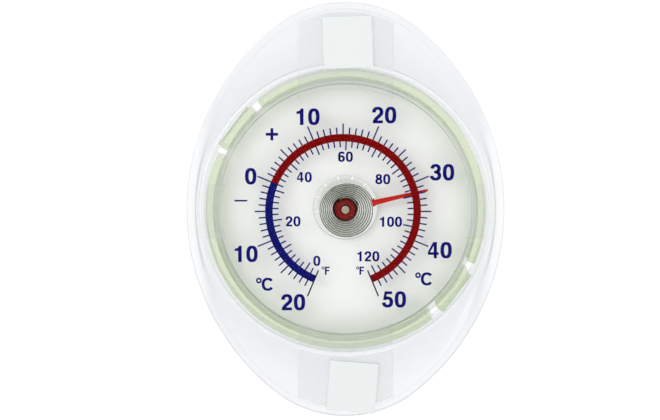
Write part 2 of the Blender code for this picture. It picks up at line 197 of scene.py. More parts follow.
def clearPlastic(name, look):
    made, tree = freshMaterial(name)
    flow = speckle(tree, look["flowSize"], 2.0, (1, 0.3, 1), 0.6)
    fine = speckle(tree, look["fineSize"], 3.0)
    height = maths(tree, "ADD", flow, maths(tree, "MULTIPLY", fine, 0.25))
    normal = bumpFrom(tree, height, look["bump"])
    # own tint of the plastic, with painted shade that changes with the distance from the axis
    tintAndShade = radialColour(tree, look["tintsAndShade"])
    # painted shade for side walls and bevels: a darker colour that draws their edge lines
    wall = radialColour(tree, look["wallPaintedShades"])
    haze = spread(tree, flow, look["haze"] * 0.8, look["haze"] * 1.2)
    milkColour = (*look["milk"], 1.0)
    if "landTint" in look:
        parts = addNode(tree, "ShaderNodeSeparateXYZ", {"Vector": objectPlace(tree)}).outputs
        across = maths(tree, "ABSOLUTE", parts["X"])
        # painted shade at the left and right sides: a paler, even tone replaces the radial shade
        tintAndShade = blendColour(tree, spread(tree, across, 0.0, 1.0, *look["sideReach"]), tintAndShade, look["sidePaintedShade"])
        land = onLand(tree, look["landLimits"])
        tintAndShade = blendColour(tree, land, tintAndShade, look["landTint"])
        haze = maths(tree, "MULTIPLY_ADD", land, look["landHaze"], haze)
        milkColour = blendColour(tree, land, look["milk"], look["landMilk"])
        # outer rims get a paler painted shade than the other walls
        wall = blendColour(tree, outerRim(tree), wall, look["rimPaintedShade"])
    # side walls and bevels take the painted wall shade
    tintAndShade = blendColour(tree, spread(tree, sideWall(tree), 0.0, 1.0, 0.06, 0.5), tintAndShade, wall)
    through = addNode(tree, "ShaderNodeBsdfTransparent", {"Color": tintAndShade}).outputs[0]
    milk = addNode(tree, "ShaderNodeBsdfDiffuse", {"Color": milkColour, "Normal": normal}).outputs[0]
    inside = mixShaders(tree, haze, through, milk)
    rough = spread(tree, fine, look["rough"] * 0.7, look["rough"] * 1.4)
    gloss = addNode(tree, "ShaderNodeBsdfGlossy", {"Roughness": rough, "Normal": normal}).outputs[0]
    shine = polish(tree, normal, look["leastShine"], look["mostShine"])
    return finishMaterial(made, mixShaders(tree, shine, inside, gloss), look["milk"])


def tintedPlastic(name, look):
    made, tree = freshMaterial(name)
    flow = speckle(tree, 6 * mm, 2.0, (1, 0.4, 1), 0.5)
    fine = speckle(tree, 0.35 * mm, 3.0)
    normal = bumpFrom(tree, maths(tree, "ADD", flow, maths(tree, "MULTIPLY", fine, 0.05)), look["bump"])
    body = blendColour(tree, spread(tree, flow, 0.0, 1.0), look["pale"], look["deep"])
    wall = maths(tree, "POWER", sideWall(tree), 2.0)
    # own green of the cup, with painted shade on the floor behind the coil
    tintAndShade = blendColour(tree, wall, radialColour(tree, look["tintsAndShade"]), look["wallThrough"])
    skin = addNode(tree, "ShaderNodeBsdfDiffuse", {"Color": body, "Normal": normal}).outputs[0]
    glow = addNode(tree, "ShaderNodeBsdfTranslucent", {"Color": body}).outputs[0]
    solid = mixShaders(tree, look["glow"], skin, glow)
    through = addNode(tree, "ShaderNodeBsdfTransparent", {"Color": tintAndShade}).outputs[0]
    haze = spread(tree, axisDistance(tree), look["floorHaze"], look["haze"], *look["hazeReach"])
    inside = mixShaders(tree, haze, through, solid)
    rough = spread(tree, fine, look["rough"] * 0.7, look["rough"] * 1.4)
    gloss = addNode(tree, "ShaderNodeBsdfGlossy", {"Roughness": rough, "Normal": normal}).outputs[0]
    shine = polish(tree, normal, look["leastShine"], look["mostShine"])
    return finishMaterial(made, mixShaders(tree, shine, inside, gloss), look["pale"])


def solidPlastic(name, look):
    made, tree = freshMaterial(name)
    flow = speckle(tree, look.get("flowSize", 4 * mm), 3.0, look.get("stretch", (1, 1, 1)), 0.4)
    fine = speckle(tree, look.get("fineSize", 0.2 * mm), 3.0)
    height = maths(tree, "ADD", maths(tree, "MULTIPLY", flow, 0.4), fine)
    normal = bumpFrom(tree, height, look["bump"])
    body = blendColour(tree, spread(tree, flow, 0.0, 1.0), look["pale"], look["deep"])
    values = {
        "Base Color": body,
        "Roughness": spread(tree, fine, look["rough"] * 0.8, look["rough"] * 1.25),
        "Normal": normal,
        "Specular IOR Level": look.get("specular", 0.5),
        "Metallic": look.get("metallic", 0.0),
    }
    return finishPrincipled(made, values, look["pale"])


# printed colour: slightly uneven, with a faint stipple
def ink(name, colour, worn):
    made, tree = freshMaterial(name)
    patch = speckle(tree, 1.5 * mm, 3.0)
    dots = speckle(tree, 0.08 * mm, 2.0)
    share = spread(tree, maths(tree, "MULTIPLY", patch, dots), 0.0, 1.0, 0.15, 0.4)
    values = {
        "Base Color": blendColour(tree, share, worn, colour),
        "Roughness": spread(tree, dots, 0.35, 0.55),
        "Normal": bumpFrom(tree, dots, 0.004 * mm),
        "Specular IOR Level": 0.01,
    }
    return finishPrincipled(made, values, colour)


# metal with fine lines that run round the dial's axis
def turnedMetal(name, look):
    made, tree = freshMaterial(name)
    away = axisDistance(tree)
    rings = addNode(
        tree,
        "ShaderNodeTexNoise",
        {"W": maths(tree, "MULTIPLY", away, 1 / look["lineWidth"]), "Scale": 1.0, "Detail": 2.0},
        noise_dimensions="1D",
    ).outputs["Fac"]
    stain = speckle(tree, look["stainSize"], 4.0)
    normal = bumpFrom(tree, rings, look["bump"])
    values = {
        "Base Color": blendColour(tree, spread(tree, stain, 0.0, 1.0), look["pale"], look["deep"]),
        "Metallic": 1.0,
        "Roughness": spread(tree, stain, look["rough"] * 0.8, look["rough"] * 1.3),
        "Normal": normal,
    }
    return finishPrincipled(made, values, look["pale"])


# rolled strip: fine lines along its length, which runs across the dial's axis
def rolledMetal(name, look):
    made, tree = freshMaterial(name)
    lines = speckle(tree, 0.05 * mm, 2.0, (0.15, 2.0, 0.15))
    stain = speckle(tree, 1.2 * mm, 4.0)
    shade = blendColour(tree, spread(tree, stain, 0.0, 1.0), look["pale"], look["deep"])
    # painted light and shade of one metal: near black on the front and back edges that look along the axis,
    # pale and partly metallic on the broad faces
    onSide = spread(tree, sideWall(tree), 0.0, 1.0, 0.5, 0.8)
    values = {
        "Base Color": blendColour(tree, onSide, look["edge"], shade),
        "Metallic": maths(tree, "MULTIPLY", onSide, look["metallic"]),
        "Roughness": spread(tree, lines, look["rough"] * 0.8, look["rough"] * 1.3),
        "Normal": bumpFrom(tree, lines, 0.004 * mm),
        "Specular IOR Level": 0.2,
    }
    return finishPrincipled(made, values, look["pale"])


# foam: small round cells on every face
def foam(name, look):
    made, tree = freshMaterial(name)
    values = {"Vector": objectPlace(tree), "Scale": 1 / look["cell"]}
    cells = addNode(tree, "ShaderNodeTexVoronoi", values).outputs["Distance"]
    grain = speckle(tree, look["cell"] * 0.4, 3.0)
    height = maths(tree, "ADD", cells, maths(tree, "MULTIPLY", grain, 0.4))
    shade = blendColour(tree, spread(tree, cells, 0.0, 1.0, 0.1, 0.7), look["deep"], look["pale"])
    values = {
        "Base Color": shade,
        "Roughness": spread(tree, grain, 0.75, 0.95),
        "Normal": bumpFrom(tree, height, look["bump"]),
        "Specular IOR Level": 0.3,
    }
    return finishPrincipled(made, values, look["pale"])


flangeLook = {
    "flowSize": 7 * mm,
    "fineSize": 0.5 * mm,
    "bump": 0.01 * mm,
    # own grey-blue tint, with painted shade: darkest in a band just outside the collar, fading outwards
    "tintsAndShade": [
        (33.7, (0.945, 0.950, 0.950)),
        (34.9, (0.945, 0.952, 0.957)),
        (35.8, (0.888, 0.900, 0.914)),
        (43.0, (0.925, 0.932, 0.942)),
        (50.0, (0.942, 0.947, 0.955)),
    ],
    # painted shade: a paler tone at the left and right sides
    "sidePaintedShade": (0.960, 0.965, 0.969),
    "sideReach": (32 * mm, 35.5 * mm),
    "landLimits": (1.26 * mm, 11.2 * mm, 35.2 * mm),
    "landTint": (0.875, 0.882, 0.892),
    "landHaze": 0.35,
    "landMilk": (0.60, 0.615, 0.63),
    # painted shade on side walls and bevels: pale near the collar, dark farther out, for the lip and land
    # edge lines
    "wallPaintedShades": [
        (33.0, (0.94, 0.95, 0.955)),
        (35.7, (0.92, 0.93, 0.94)),
        (36.1, (0.78, 0.80, 0.82)),
        (50.0, (0.74, 0.76, 0.79)),
    ],
    # painted shade on the outer rim, paler than on the other walls
    "rimPaintedShade": (0.93, 0.94, 0.945),
    "milk": (0.86, 0.88, 0.90),
    "haze": 0.05,
    "rough": 0.10,
    "leastShine": 0.018,
    "mostShine": 0.7,
}
lensLook = dict(
    {key: value for key, value in flangeLook.items() if not key.startswith(("land", "side", "rim"))},
    tintsAndShade=[(0.0, (0.996, 0.997, 0.996)), (32.0, (0.995, 0.996, 0.994))],
    # painted shade: dark rings on the skirt's side walls, darkest on its inner wall
    wallPaintedShades=[(30.5, (0.64, 0.67, 0.63)), (30.8, (0.88, 0.90, 0.86)), (31.7, (0.82, 0.85, 0.80))],
    haze=0.0005,
    rough=0.03,
    bump=0.003 * mm,
    leastShine=0.0015,
    mostShine=0.6,
)
cupLook = {
    "pale": (0.74, 0.80, 0.65),
    "deep": (0.70, 0.77, 0.60),
    # painted shade: the floor behind the coil, out to 6 mm, is darker; from 31 mm on it is the cup's own
    # green
    "tintsAndShade": [
        (2.0, (0.790, 0.800, 0.780)),
        (6.0, (0.790, 0.800, 0.780)),
        (7.0, (0.880, 0.885, 0.875)),
        (9.0, (0.880, 0.885, 0.875)),
        (31.0, (0.840, 0.885, 0.780)),
        (31.9, (0.870, 0.908, 0.808)),
        (33.5, (0.885, 0.922, 0.822)),
    ],
    "floorHaze": 0.005,
    "haze": 0.25,
    "hazeReach": (9 * mm, 29 * mm),
    "wallThrough": (0.88, 0.915, 0.83),
    "leastShine": 0.012,
    "mostShine": 0.7,
    "glow": 0.5,
    "rough": 0.2,
    "bump": 0.004 * mm,
}
dialLook = {
    "pale": (0.765, 0.771, 0.757),
    "deep": (0.753, 0.760, 0.745),
    "flowSize": 9 * mm,
    "fineSize": 0.15 * mm,
    "rough": 0.45,
    "bump": 0.004 * mm,
}
needleLook = {
    "pale": (0.44, 0.006, 0.002),
    "deep": (0.36, 0.005, 0.002),
    "rough": 0.35,
    "bump": 0.006 * mm,
    "specular": 0.15,
}
# the hub's red is darker than the needle's: its own darker red, with painted shade for its deep place among
# the coil's turns
hubRedAndShade = {
    "pale": (0.17, 0.003, 0.002),
    "deep": (0.11, 0.002, 0.001),
    "rough": 0.3,
    "bump": 0.008 * mm,
    "specular": 0.12,
}
stripLook = {
    "pale": (0.86, 0.88, 0.82),
    "deep": (0.74, 0.77, 0.70),
    # near-black painted shade on the strip's front and back edges
    "edge": (0.020, 0.026, 0.016),
    "metallic": 0.6,
    "rough": 0.4,
}
pinLook = {
    "pale": (0.38, 0.355, 0.27),
    "deep": (0.25, 0.23, 0.165),
    "lineWidth": 0.05 * mm,
    "stainSize": 0.6 * mm,
    "rough": 0.3,
    "bump": 0.01 * mm,
}
foamLook = {"pale": (0.70, 0.74, 0.74), "deep": (0.60, 0.64, 0.65), "cell": 0.18 * mm, "bump": 0.03 * mm}
linerLook = {
    "pale": (0.622, 0.651, 0.646),
    "deep": (0.614, 0.645, 0.640),
    "flowSize": 3 * mm,
    "fineSize": 0.1 * mm,
    "rough": 0.35,
    "bump": 0.004 * mm,
}

flangePlastic = clearPlastic("flangePlastic", flangeLook)
lensPlastic = clearPlastic("lensPlastic", lensLook)
cupPlastic = tintedPlastic("cupPlastic", cupLook)
dialPlastic = solidPlastic("dialPlastic", dialLook)
needlePlastic = solidPlastic("needlePlastic", needleLook)
hubPlasticAndShade = solidPlastic("hubPlasticAndShade", hubRedAndShade)
stripMetal = rolledMetal("stripMetal", stripLook)
pinMetal = turnedMetal("pinMetal", pinLook)
padFoam = foam("padFoam", foamLook)
linerFilm = solidPlastic("linerFilm", linerLook)
navyInk = ink("navyInk", (0.002, 0.002, 0.108), (0.005, 0.005, 0.13))
coldInk = ink("coldInk", (0.002, 0.003, 0.095), (0.004, 0.005, 0.115))
warmInk = ink("warmInk", (0.140, 0.0004, 0.0008), (0.160, 0.0008, 0.0014))
print("materials are ready")


# mesh helpers

def polar(radius, angle):
    return Vector((radius * math.cos(angle), radius * math.sin(angle)))


# rounds the corners of a closed outline; a corner is (across, along, radius)
def rounded(corners, segments=4):
    made = []
    for i, corner in enumerate(corners):
        here = Vector(corner[:2])
        radius = corner[2] if len(corner) > 2 else 0.0
        before = (Vector(corners[i - 1][:2]) - here).normalized()
        after = (Vector(corners[(i + 1) % len(corners)][:2]) - here).normalized()
        if radius <= 0 or before.angle(after) > math.radians(179):
            made.append(here)
            continue
        half = before.angle(after) / 2
        centre = here + (before + after).normalized() * radius / math.sin(half)
        first = here + before * radius / math.tan(half) - centre
        last = here + after * radius / math.tan(half) - centre
        start = math.atan2(first.y, first.x)
        turn = math.atan2(last.y, last.x) - start
        turn = (turn + math.pi) % (2 * math.pi) - math.pi
        made += [centre + polar(radius, start + turn * k / segments) for k in range(segments + 1)]
    return made


def meshObject(name, bm, material, sharp=35):
    bmesh.ops.remove_doubles(bm, verts=bm.verts, dist=1e-7)
    bmesh.ops.recalc_face_normals(bm, faces=bm.faces)
    mesh = bpy.data.meshes.new(name)
    bm.to_mesh(mesh)
    bm.free()
    mesh.shade_smooth()
    mesh.set_sharp_from_angle(angle=math.radians(sharp))
    mesh.materials.append(material)
    made = bpy.data.objects.new(name, mesh)
    scene.collection.objects.link(made)
    return made


# joins each row of points to the next with a closed band of four-cornered faces
def bandFaces(bm, rows):
    for row, following in zip(rows, rows[1:]):
        for i in range(len(row)):
            j = (i + 1) % len(row)
            bm.faces.new((row[i], row[j], following[j], following[i]))


# spins a closed outline of (radius, y) points round the Y axis
def turned(name, outline, steps, material):
    bm = bmesh.new()
    rows = []
    for i in range(steps):
        c, s = math.cos(2 * math.pi * i / steps), math.sin(2 * math.pi * i / steps)
        rows.append([bm.verts.new((r * c, y, r * s)) for r, y in outline])
    for i in range(steps):
        row, following = rows[i], rows[(i + 1) % steps]
        for j in range(len(outline)):
            k = (j + 1) % len(outline)
            if outline[j][0] < 1e-9 and outline[k][0] < 1e-9:
                continue
            bm.faces.new((row[j], row[k], following[k], following[j]))
    bmesh.ops.remove_doubles(bm, verts=bm.verts, dist=1e-8)
    bmesh.ops.dissolve_degenerate(bm, dist=1e-9, edges=bm.edges)
    return meshObject(name, bm, material)


# joins rings of equal size into a closed solid; the last ring joins the first
def rings(name, rows, material):
    bm = bmesh.new()
    made = [[bm.verts.new(point) for point in row] for row in rows]
    bandFaces(bm, made + made[:1])
    bmesh.ops.triangulate(bm, faces=bm.faces)
    return meshObject(name, bm, material)


# moves every point of an outline inwards by the same distance
def shrunk(outline, distance):
    points = [Vector(p) for p in outline]
    area = sum(a.x * b.y - b.x * a.y for a, b in zip(points, points[1:] + points[:1]))
    side = 1 if area > 0 else -1
    made = []
    for i, here in enumerate(points):
        into = (here - points[i - 1]).normalized()
        out = (points[(i + 1) % len(points)] - here).normalized()
        first = Vector((-into.y, into.x)) * side
        second = Vector((-out.y, out.x)) * side
        middle = (first + second).normalized()
        made.append(here + middle * distance / max(0.3, middle.dot(first)))
    return made


# a block with softened front and back edges, from a flat outline of (x, z) points
def block(name, outline, front, back, material, soft=0.0, softBack=None):
    softBack = soft if softBack is None else softBack
    steps = []
    if soft > 0:
        steps += [(soft, front), (soft * 0.3, front + soft * 0.3), (0.0, front + soft)]
    else:
        steps.append((0.0, front))
    if softBack > 0:
        steps += [(0.0, back - softBack), (softBack * 0.3, back - softBack * 0.3), (softBack, back)]
    else:
        steps.append((0.0, back))
    bm = bmesh.new()
    rows = []
    for inset, y in steps:
        points = shrunk(outline, inset) if inset else [Vector(p) for p in outline]
        rows.append([bm.verts.new((p.x, y, p.y)) for p in points])
    bandFaces(bm, rows)
    bm.faces.new(rows[0])
    bm.faces.new(rows[-1])
    return meshObject(name, bm, material)


def combine(target, tools, operation):
    for tool in tools:
        modifier = target.modifiers.new("join", "BOOLEAN")
        modifier.operation = operation
        modifier.solver = "EXACT"
        modifier.object = tool
    bpy.context.view_layer.update()
    graph = bpy.context.evaluated_depsgraph_get()
    mesh = bpy.data.meshes.new_from_object(target.evaluated_get(graph))
    target.modifiers.clear()
    target.data = mesh
    mesh.name = target.name
    mesh.shade_smooth()
    mesh.set_sharp_from_angle(angle=math.radians(35))
    for tool in tools:
        bpy.data.objects.remove(tool, do_unlink=True)
    return target


# turns a mesh anticlockwise as the dial is read
def turnBy(piece, angle):
    piece.data.transform(Matrix.Rotation(-angle, 4, "Y"))
    return piece


def shift(piece, x=0.0, y=0.0, z=0.0):
    piece.data.transform(Matrix.Translation((x, y, z)))
    return piece


def rectangle(width, height, corner=0.0):
    w, h = width / 2, height / 2
    return rounded([(-w, -h, corner), (w, -h, corner), (w, h, corner), (-w, h, corner)])


# holder: clear oval flange, collar, lands and tabs

holder = {
    "halfWidth": 38.0 * mm,
    "halfHeight": 50.0 * mm,
    "sideRadius": 56.4 * mm,
    "lipWidth": 1.8 * mm,
    "lipFront": 1.3 * mm,
    "lipStep": 0.5 * mm,
    "dish": 1.0 * mm,
    "wall": 1.5 * mm,
    "bore": 33.65 * mm,
    "outside": 35.3 * mm,
    "collarFront": 2.0 * mm,
    "collarBack": 10.0 * mm,
    "groove": (34.6 * mm, 3.3 * mm, 5.3 * mm),
    "tabReach": 29.5 * mm,
    "tabFront": 1.15 * mm,
    "tabWall": 0.65 * mm,
    "landHalf": 11.35 * mm,
    "sideTabHalf": 6.5 * mm,
    "landRoot": 3.1 * mm,
    "landInset": 2.2 * mm,
    "steps": 192,
}


# point of the four-arc oval, moved inwards by inset
def ovalPoint(angle, inset=0.0):
    side = holder["sideRadius"] - holder["halfWidth"]
    above = holder["sideRadius"] ** 2 - side**2 - holder["halfHeight"] ** 2
    tip = above / (2 * (holder["sideRadius"] - holder["halfHeight"]))
    end = holder["halfHeight"] - tip
    across, up = abs(math.cos(angle)), abs(math.sin(angle))
    meeting = math.atan2(end, side)
    if up * tip * math.cos(meeting) > across * (end + tip * math.sin(meeting)):
        centre, radius = Vector((0.0, end)), tip - inset
    else:
        centre, radius = Vector((-side, 0.0)), holder["sideRadius"] - inset
    along = across * centre.x + up * centre.y
    reach = along + math.sqrt(along**2 - centre.length_squared + radius**2)
    x = math.copysign(reach * across, math.cos(angle))
    return Vector((x, math.copysign(reach * up, math.sin(angle))))


# a ring between the oval (share 0) and a circle (share 1)
def holderRing(inset, radius, share, y):
    made = []
    for i in range(holder["steps"]):
        angle = 2 * math.pi * i / holder["steps"]
        oval, circle = ovalPoint(angle, inset), polar(radius, angle)
        point = oval.lerp(circle, share)
        made.append((point.x, y, point.y))
    return made


def shellRings():
    lip, outside, bore = holder["lipWidth"], holder["outside"], holder["bore"]
    front, edge = holder["lipFront"], holder["lipFront"] + holder["lipStep"]
    root, wall = edge + holder["dish"], holder["wall"]
    grooveRadius, grooveFront, grooveBack = holder["groove"]
    rows = []
    lipRound = ((0.0, 0.55), (0.06, 0.3), (0.2, 0.1), (0.45, 0.0))
    for inset, y in (*lipRound, (lip / mm - 0.55, 0.0), (lip / mm - 0.3, 0.12)):
        rows.append(holderRing(inset * mm, outside, 0.0, front + y * mm))
    rows.append(holderRing(lip + 0.05 * mm, outside, 0.0, edge - 0.12 * mm))
    for share in (0.0, 0.12, 0.3, 0.55, 0.8, 0.94, 1.0):
        rise = 0.12 * mm * max(0.0, 1 - share * 8)
        dish = holder["dish"] * math.sin(share * math.pi / 2)
        rows.append(holderRing(lip + 0.25 * mm, outside + 0.25 * mm, share, edge - rise * 0.2 + dish))
    rows.append(holderRing(0, outside, 1.0, root - 0.3 * mm))
    rows.append(holderRing(0, outside, 1.0, holder["collarFront"] + 0.25 * mm))
    for inset, y in ((0.03, 0.12), (0.12, 0.03), (0.25, 0.0)):
        rows.append(holderRing(0, outside - inset * mm, 1.0, holder["collarFront"] + y * mm))
    for inset, y in ((0.25, 0.0), (0.12, 0.03), (0.03, 0.12), (0.0, 0.25)):
        rows.append(holderRing(0, bore + inset * mm, 1.0, holder["collarFront"] + y * mm))
    rows.append(holderRing(0, bore, 1.0, grooveFront))
    rows.append(holderRing(0, grooveRadius, 1.0, grooveFront))
    rows.append(holderRing(0, grooveRadius, 1.0, grooveBack))
    rows.append(holderRing(0, bore, 1.0, grooveBack))
    rows.append(holderRing(0, bore, 1.0, holder["collarBack"] - 0.2 * mm))
    rows.append(holderRing(0, bore + 0.2 * mm, 1.0, holder["collarBack"]))
    rows.append(holderRing(0, outside - 0.2 * mm, 1.0, holder["collarBack"]))
    rows.append(holderRing(0, outside, 1.0, holder["collarBack"] - 0.2 * mm))
    rows.append(holderRing(0, outside, 1.0, root + wall + 0.3 * mm))
    for share in (1.0, 0.8, 0.55, 0.3, 0.12):
        dish = holder["dish"] * math.sin(share * math.pi / 2)
        rows.append(holderRing(lip, outside + 0.25 * mm, share, edge + wall + dish))
    for inset, y in ((0.5, 0.0), (0.2, -0.06), (0.0, -0.25)):
        rows.append(holderRing(inset * mm, outside, 0.0, edge + wall + y * mm))
    return rows


# the upper tab and land in one outline
def landOutline():
    half, reach = holder["landHalf"], holder["tabReach"]
    start = math.asin(half / reach)
    turns = [start * t for t in np.linspace(-1, 1, 25)]
    inner = [Vector((reach * math.sin(t), reach * math.cos(t))) for t in turns]
    first = math.atan2(math.sqrt(holder["halfHeight"] ** 2 - half**2) - holder["landInset"], half)
    outer = [ovalPoint(a, holder["landInset"]) for a in np.linspace(first, math.pi - first, 25)]
    outer[0].x, outer[-1].x = half, -half
    return outer + inner


def sideTabOutline():
    made = []
    for radius, way in ((holder["outside"] + 0.1 * mm, -1), (holder["tabReach"], 1)):
        start = math.asin(holder["sideTabHalf"] / radius)
        angles = [start * t * way for t in np.linspace(-1, 1, 13)]
        made += [Vector((radius * math.sin(a), radius * math.cos(a))) for a in angles]
    return made


def tabBlock(outline, turn):
    tab = block("tab", outline, holder["tabFront"], holder["landRoot"], flangePlastic, 0.3 * mm, 0.0)
    under = holder["tabFront"] + holder["tabWall"]
    clear = holder["bore"] + 0.35 * mm
    relief = turned("relief", [(0, under), (clear, under), (clear, 9 * mm), (0, 9 * mm)], 192, flangePlastic)
    return turnBy(combine(tab, [relief], "DIFFERENCE"), turn)


windowHolder = rings("windowHolder", shellRings(), flangePlastic)
tabs = [tabBlock(landOutline(), turn) for turn in (0.0, math.pi)]
tabs += [tabBlock(sideTabOutline(), turn) for turn in (math.pi / 2, -math.pi / 2)]
combine(windowHolder, tabs, "UNION")
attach(windowHolder, "holder")
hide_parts("window_holder")
print("holder is ready:", len(windowHolder.data.polygons), "faces")


# pads and their liners

pads = {
    "width": 11.6 * mm,
    "height": 12.2 * mm,
    "foamFront": 0.12 * mm,
    "foamWall": 1.0 * mm,
    "linerWall": 0.1 * mm,
    "grid": 28,
    "upper": {"x": 0.5 * mm, "z": 40.6 * mm, "turn": 2.0, "seed": 3.0},
    "lower": {"x": 1.7 * mm, "z": -42.5 * mm, "turn": -4.8, "seed": 11.0},
}


# foam cut with a blade: the faces are flat and the cut sides waver a little
def makeFoam(name, place):
    bm = bmesh.new()
    bmesh.ops.create_grid(bm, x_segments=pads["grid"], y_segments=pads["grid"], size=0.5)
    bottom = bm.faces[:]
    grown = bmesh.ops.extrude_face_region(bm, geom=bottom)
    top = [g for g in grown["geom"] if isinstance(g, bmesh.types.BMVert)]
    bmesh.ops.translate(bm, vec=(0, 0, 1), verts=top)
    sides = [e for e in bm.edges if abs(e.verts[0].co.z - e.verts[1].co.z) > 0.5]
    bmesh.ops.subdivide_edges(bm, edges=sides, cuts=5, use_grid_fill=True)
    for vert in bm.verts:
        u, v, w = vert.co
        x, z = u * pads["width"], v * pads["height"]
        y = pads["foamFront"] + w * pads["foamWall"]
        edge = max(abs(u), abs(v)) > 0.499
        if edge:
            sample = Vector((x, y * 2, z)) / (0.8 * mm) + Vector((place["seed"], 0, 0))
            waver = noise.noise(sample) * 0.07 * mm - 0.05 * mm
            bulge = 0.05 * mm * (1 - (2 * w - 1) ** 2)
            if abs(u) > 0.499:
                x += math.copysign(waver + bulge, u)
            if abs(v) > 0.499:
                z += math.copysign(waver + bulge, v)
        vert.co = (x, y, z)
    made = meshObject(name, bm, padFoam, 50)
    turnBy(made, math.radians(place["turn"]))
    return shift(made, place["x"], 0.0, place["z"])


# liner film with a slight lift at two corners
def makeLiner(name, place):
    bm = bmesh.new()
    steps = pads["grid"]
    rows = []
    for side in (0.0, 1.0):
        grid = []
        for i in range(steps + 1):
            for j in range(steps + 1):
                u, v = i / steps - 0.5, j / steps - 0.5
                corner = max(0.0, u * v * 4 - 0.55)
                lift = corner**2 * 0.5 * mm
                swell = noise.noise(Vector((u * 3, v * 3, place["seed"]))) * 0.01 * mm
                y = side * pads["linerWall"] - lift - abs(swell)
                grid.append(bm.verts.new((u * pads["width"], y, v * pads["height"])))
        rows.append(grid)
    wide = steps + 1
    for grid in rows:
        for i in range(steps):
            for j in range(steps):
                a = i * wide + j
                bm.faces.new((grid[a], grid[a + 1], grid[a + wide + 1], grid[a + wide]))
    rim = list(range(wide)) + [i * wide + steps for i in range(1, wide)]
    rim += [steps * wide + j for j in range(steps - 1, -1, -1)] + [i * wide for i in range(steps - 1, 0, -1)]
    for a, b in zip(rim, rim[1:] + rim[:1]):
        bm.faces.new((rows[0][a], rows[0][b], rows[1][b], rows[1][a]))
    made = meshObject(name, bm, linerFilm, 40)
    turnBy(made, math.radians(place["turn"]))
    return shift(made, place["x"], 0.0, place["z"])


for end in ("upper", "lower"):
    foamPad = makeFoam(end + "FoamPad", pads[end])
    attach(foamPad, "holder")
    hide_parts(end + "_foam_pad")
    liner = makeLiner(end + "Liner", pads[end])
    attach(liner, end + "_liner")
    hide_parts(end + "_release_liner")
print("pads and liners are ready")


# case cup: green-tinted wall, ledge, vented floor, boss and two snap fingers

cup = {
    "outside": 33.5 * mm,
    "inside": 31.75 * mm,
    "front": 2.0 * mm,
    "back": 15.0 * mm,
    "floor": 13.6 * mm,
    "ledge": (30.0 * mm, 9.15 * mm),
    "boss": (2.4 * mm, 10.2 * mm),
    "bore": 1.05 * mm,
    "headBore": (1.85 * mm, 14.35 * mm),
    "fingerAt": math.radians(143.0),
    "fingerHalf": math.radians(9.6),
    "slot": math.radians(4.9),
    "slotInside": 31.2 * mm,
    "fingerFlat": (33.3 * mm, 13.0 * mm),
    "barb": (33.85 * mm, 3.6 * mm, 4.9 * mm),
    "vents": 12,
    "vent": (6.2 * mm, 7.6 * mm, 0.3 * mm),
}


def arcPoints(radius, start, end, steps):
    return [polar(radius, start + (end - start) * i / steps) for i in range(steps + 1)]


def ventCutters(count, inner, outer, width, front, back, corner):
    made = []
    for i in range(count):
        hole = block("vent", rectangle(width, outer - inner, corner), front, back, dialPlastic)
        shift(hole, z=(outer + inner) / 2)
        made.append(turnBy(hole, 2 * math.pi * (i + 0.5) / count))
    return made


def makeCup():
    outside, inside, front, back = cup["outside"], cup["inside"], cup["front"], cup["back"]
    outline = rounded(
        [
            (inside, front, 0.12 * mm),
            (outside, front, 0.25 * mm),
            (outside, back, 1.4 * mm),
            (cup["headBore"][0], back, 0.1 * mm),
            (cup["headBore"][0], cup["headBore"][1]),
            (cup["bore"], cup["headBore"][1]),
            (cup["bore"], cup["boss"][1]),
            (cup["boss"][0], cup["boss"][1], 0.1 * mm),
            (cup["boss"][0], cup["floor"], 0.2 * mm),
            (cup["ledge"][0], cup["floor"], 0.3 * mm),
            (cup["ledge"][0], cup["ledge"][1]),
            (inside, cup["ledge"][1], 0.1 * mm),
        ],
        4,
    )
    made = turned("caseCup", outline, 192, cupPlastic)
    middle = cup["fingerHalf"] + cup["slot"] / 2
    cutters, barbs = [], []
    fingerFlat, flatBack = cup["fingerFlat"]
    barbFlat, barbFront, barbBack = cup["barb"]
    for side in (0.0, math.pi):
        at = cup["fingerAt"] + side
        for way in (-1, 1):
            start, end = at + way * middle - cup["slot"] / 2, at + way * middle + cup["slot"] / 2
            outline = arcPoints(outside + mm, start, end, 4) + arcPoints(cup["slotInside"], end, start, 4)
            cutters.append(block("slot", outline, front - mm, back + mm, cupPlastic))
        outline = rectangle(2 * mm, 2 * fingerFlat * math.tan(middle))
        flat = block("flat", outline, front - mm, flatBack, cupPlastic)
        cutters.append(turnBy(shift(flat, x=fingerFlat + mm), at))
        slope = math.tan(cup["fingerHalf"] - math.radians(0.1))
        root = inside + 0.4 * mm
        corners = [(root, -root * slope), (barbFlat, -barbFlat * slope)]
        corners += [(barbFlat, barbFlat * slope), (root, root * slope)]
        barb = block("barb", [Vector(c) for c in corners], barbFront, barbBack, cupPlastic, 0.15 * mm)
        barbs.append(turnBy(barb, at))
    cutters += ventCutters(cup["vents"], *cup["vent"], cup["floor"] - mm, back + mm, 0.15 * mm)
    combine(made, cutters, "DIFFERENCE")
    return combine(made, barbs, "UNION")


caseCup = makeCup()
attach(caseCup, "case")
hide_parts("case_cup")
print("cup is ready:", len(caseCup.data.polygons), "faces")


# dial plate and lens

dial = {
    "radius": 31.6 * mm,
    "front": 8.45 * mm,
    "wall": 0.65 * mm,
    "hole": 7.75 * mm,
}
lens = {
    "radius": 31.65 * mm,
    "front": 2.1 * mm,
    "wall": 1.2 * mm,
    "skirtInside": 30.4 * mm,
    "skirtStep": (30.95 * mm, 5.6 * mm),
    "skirtBack": 8.4 * mm,
}


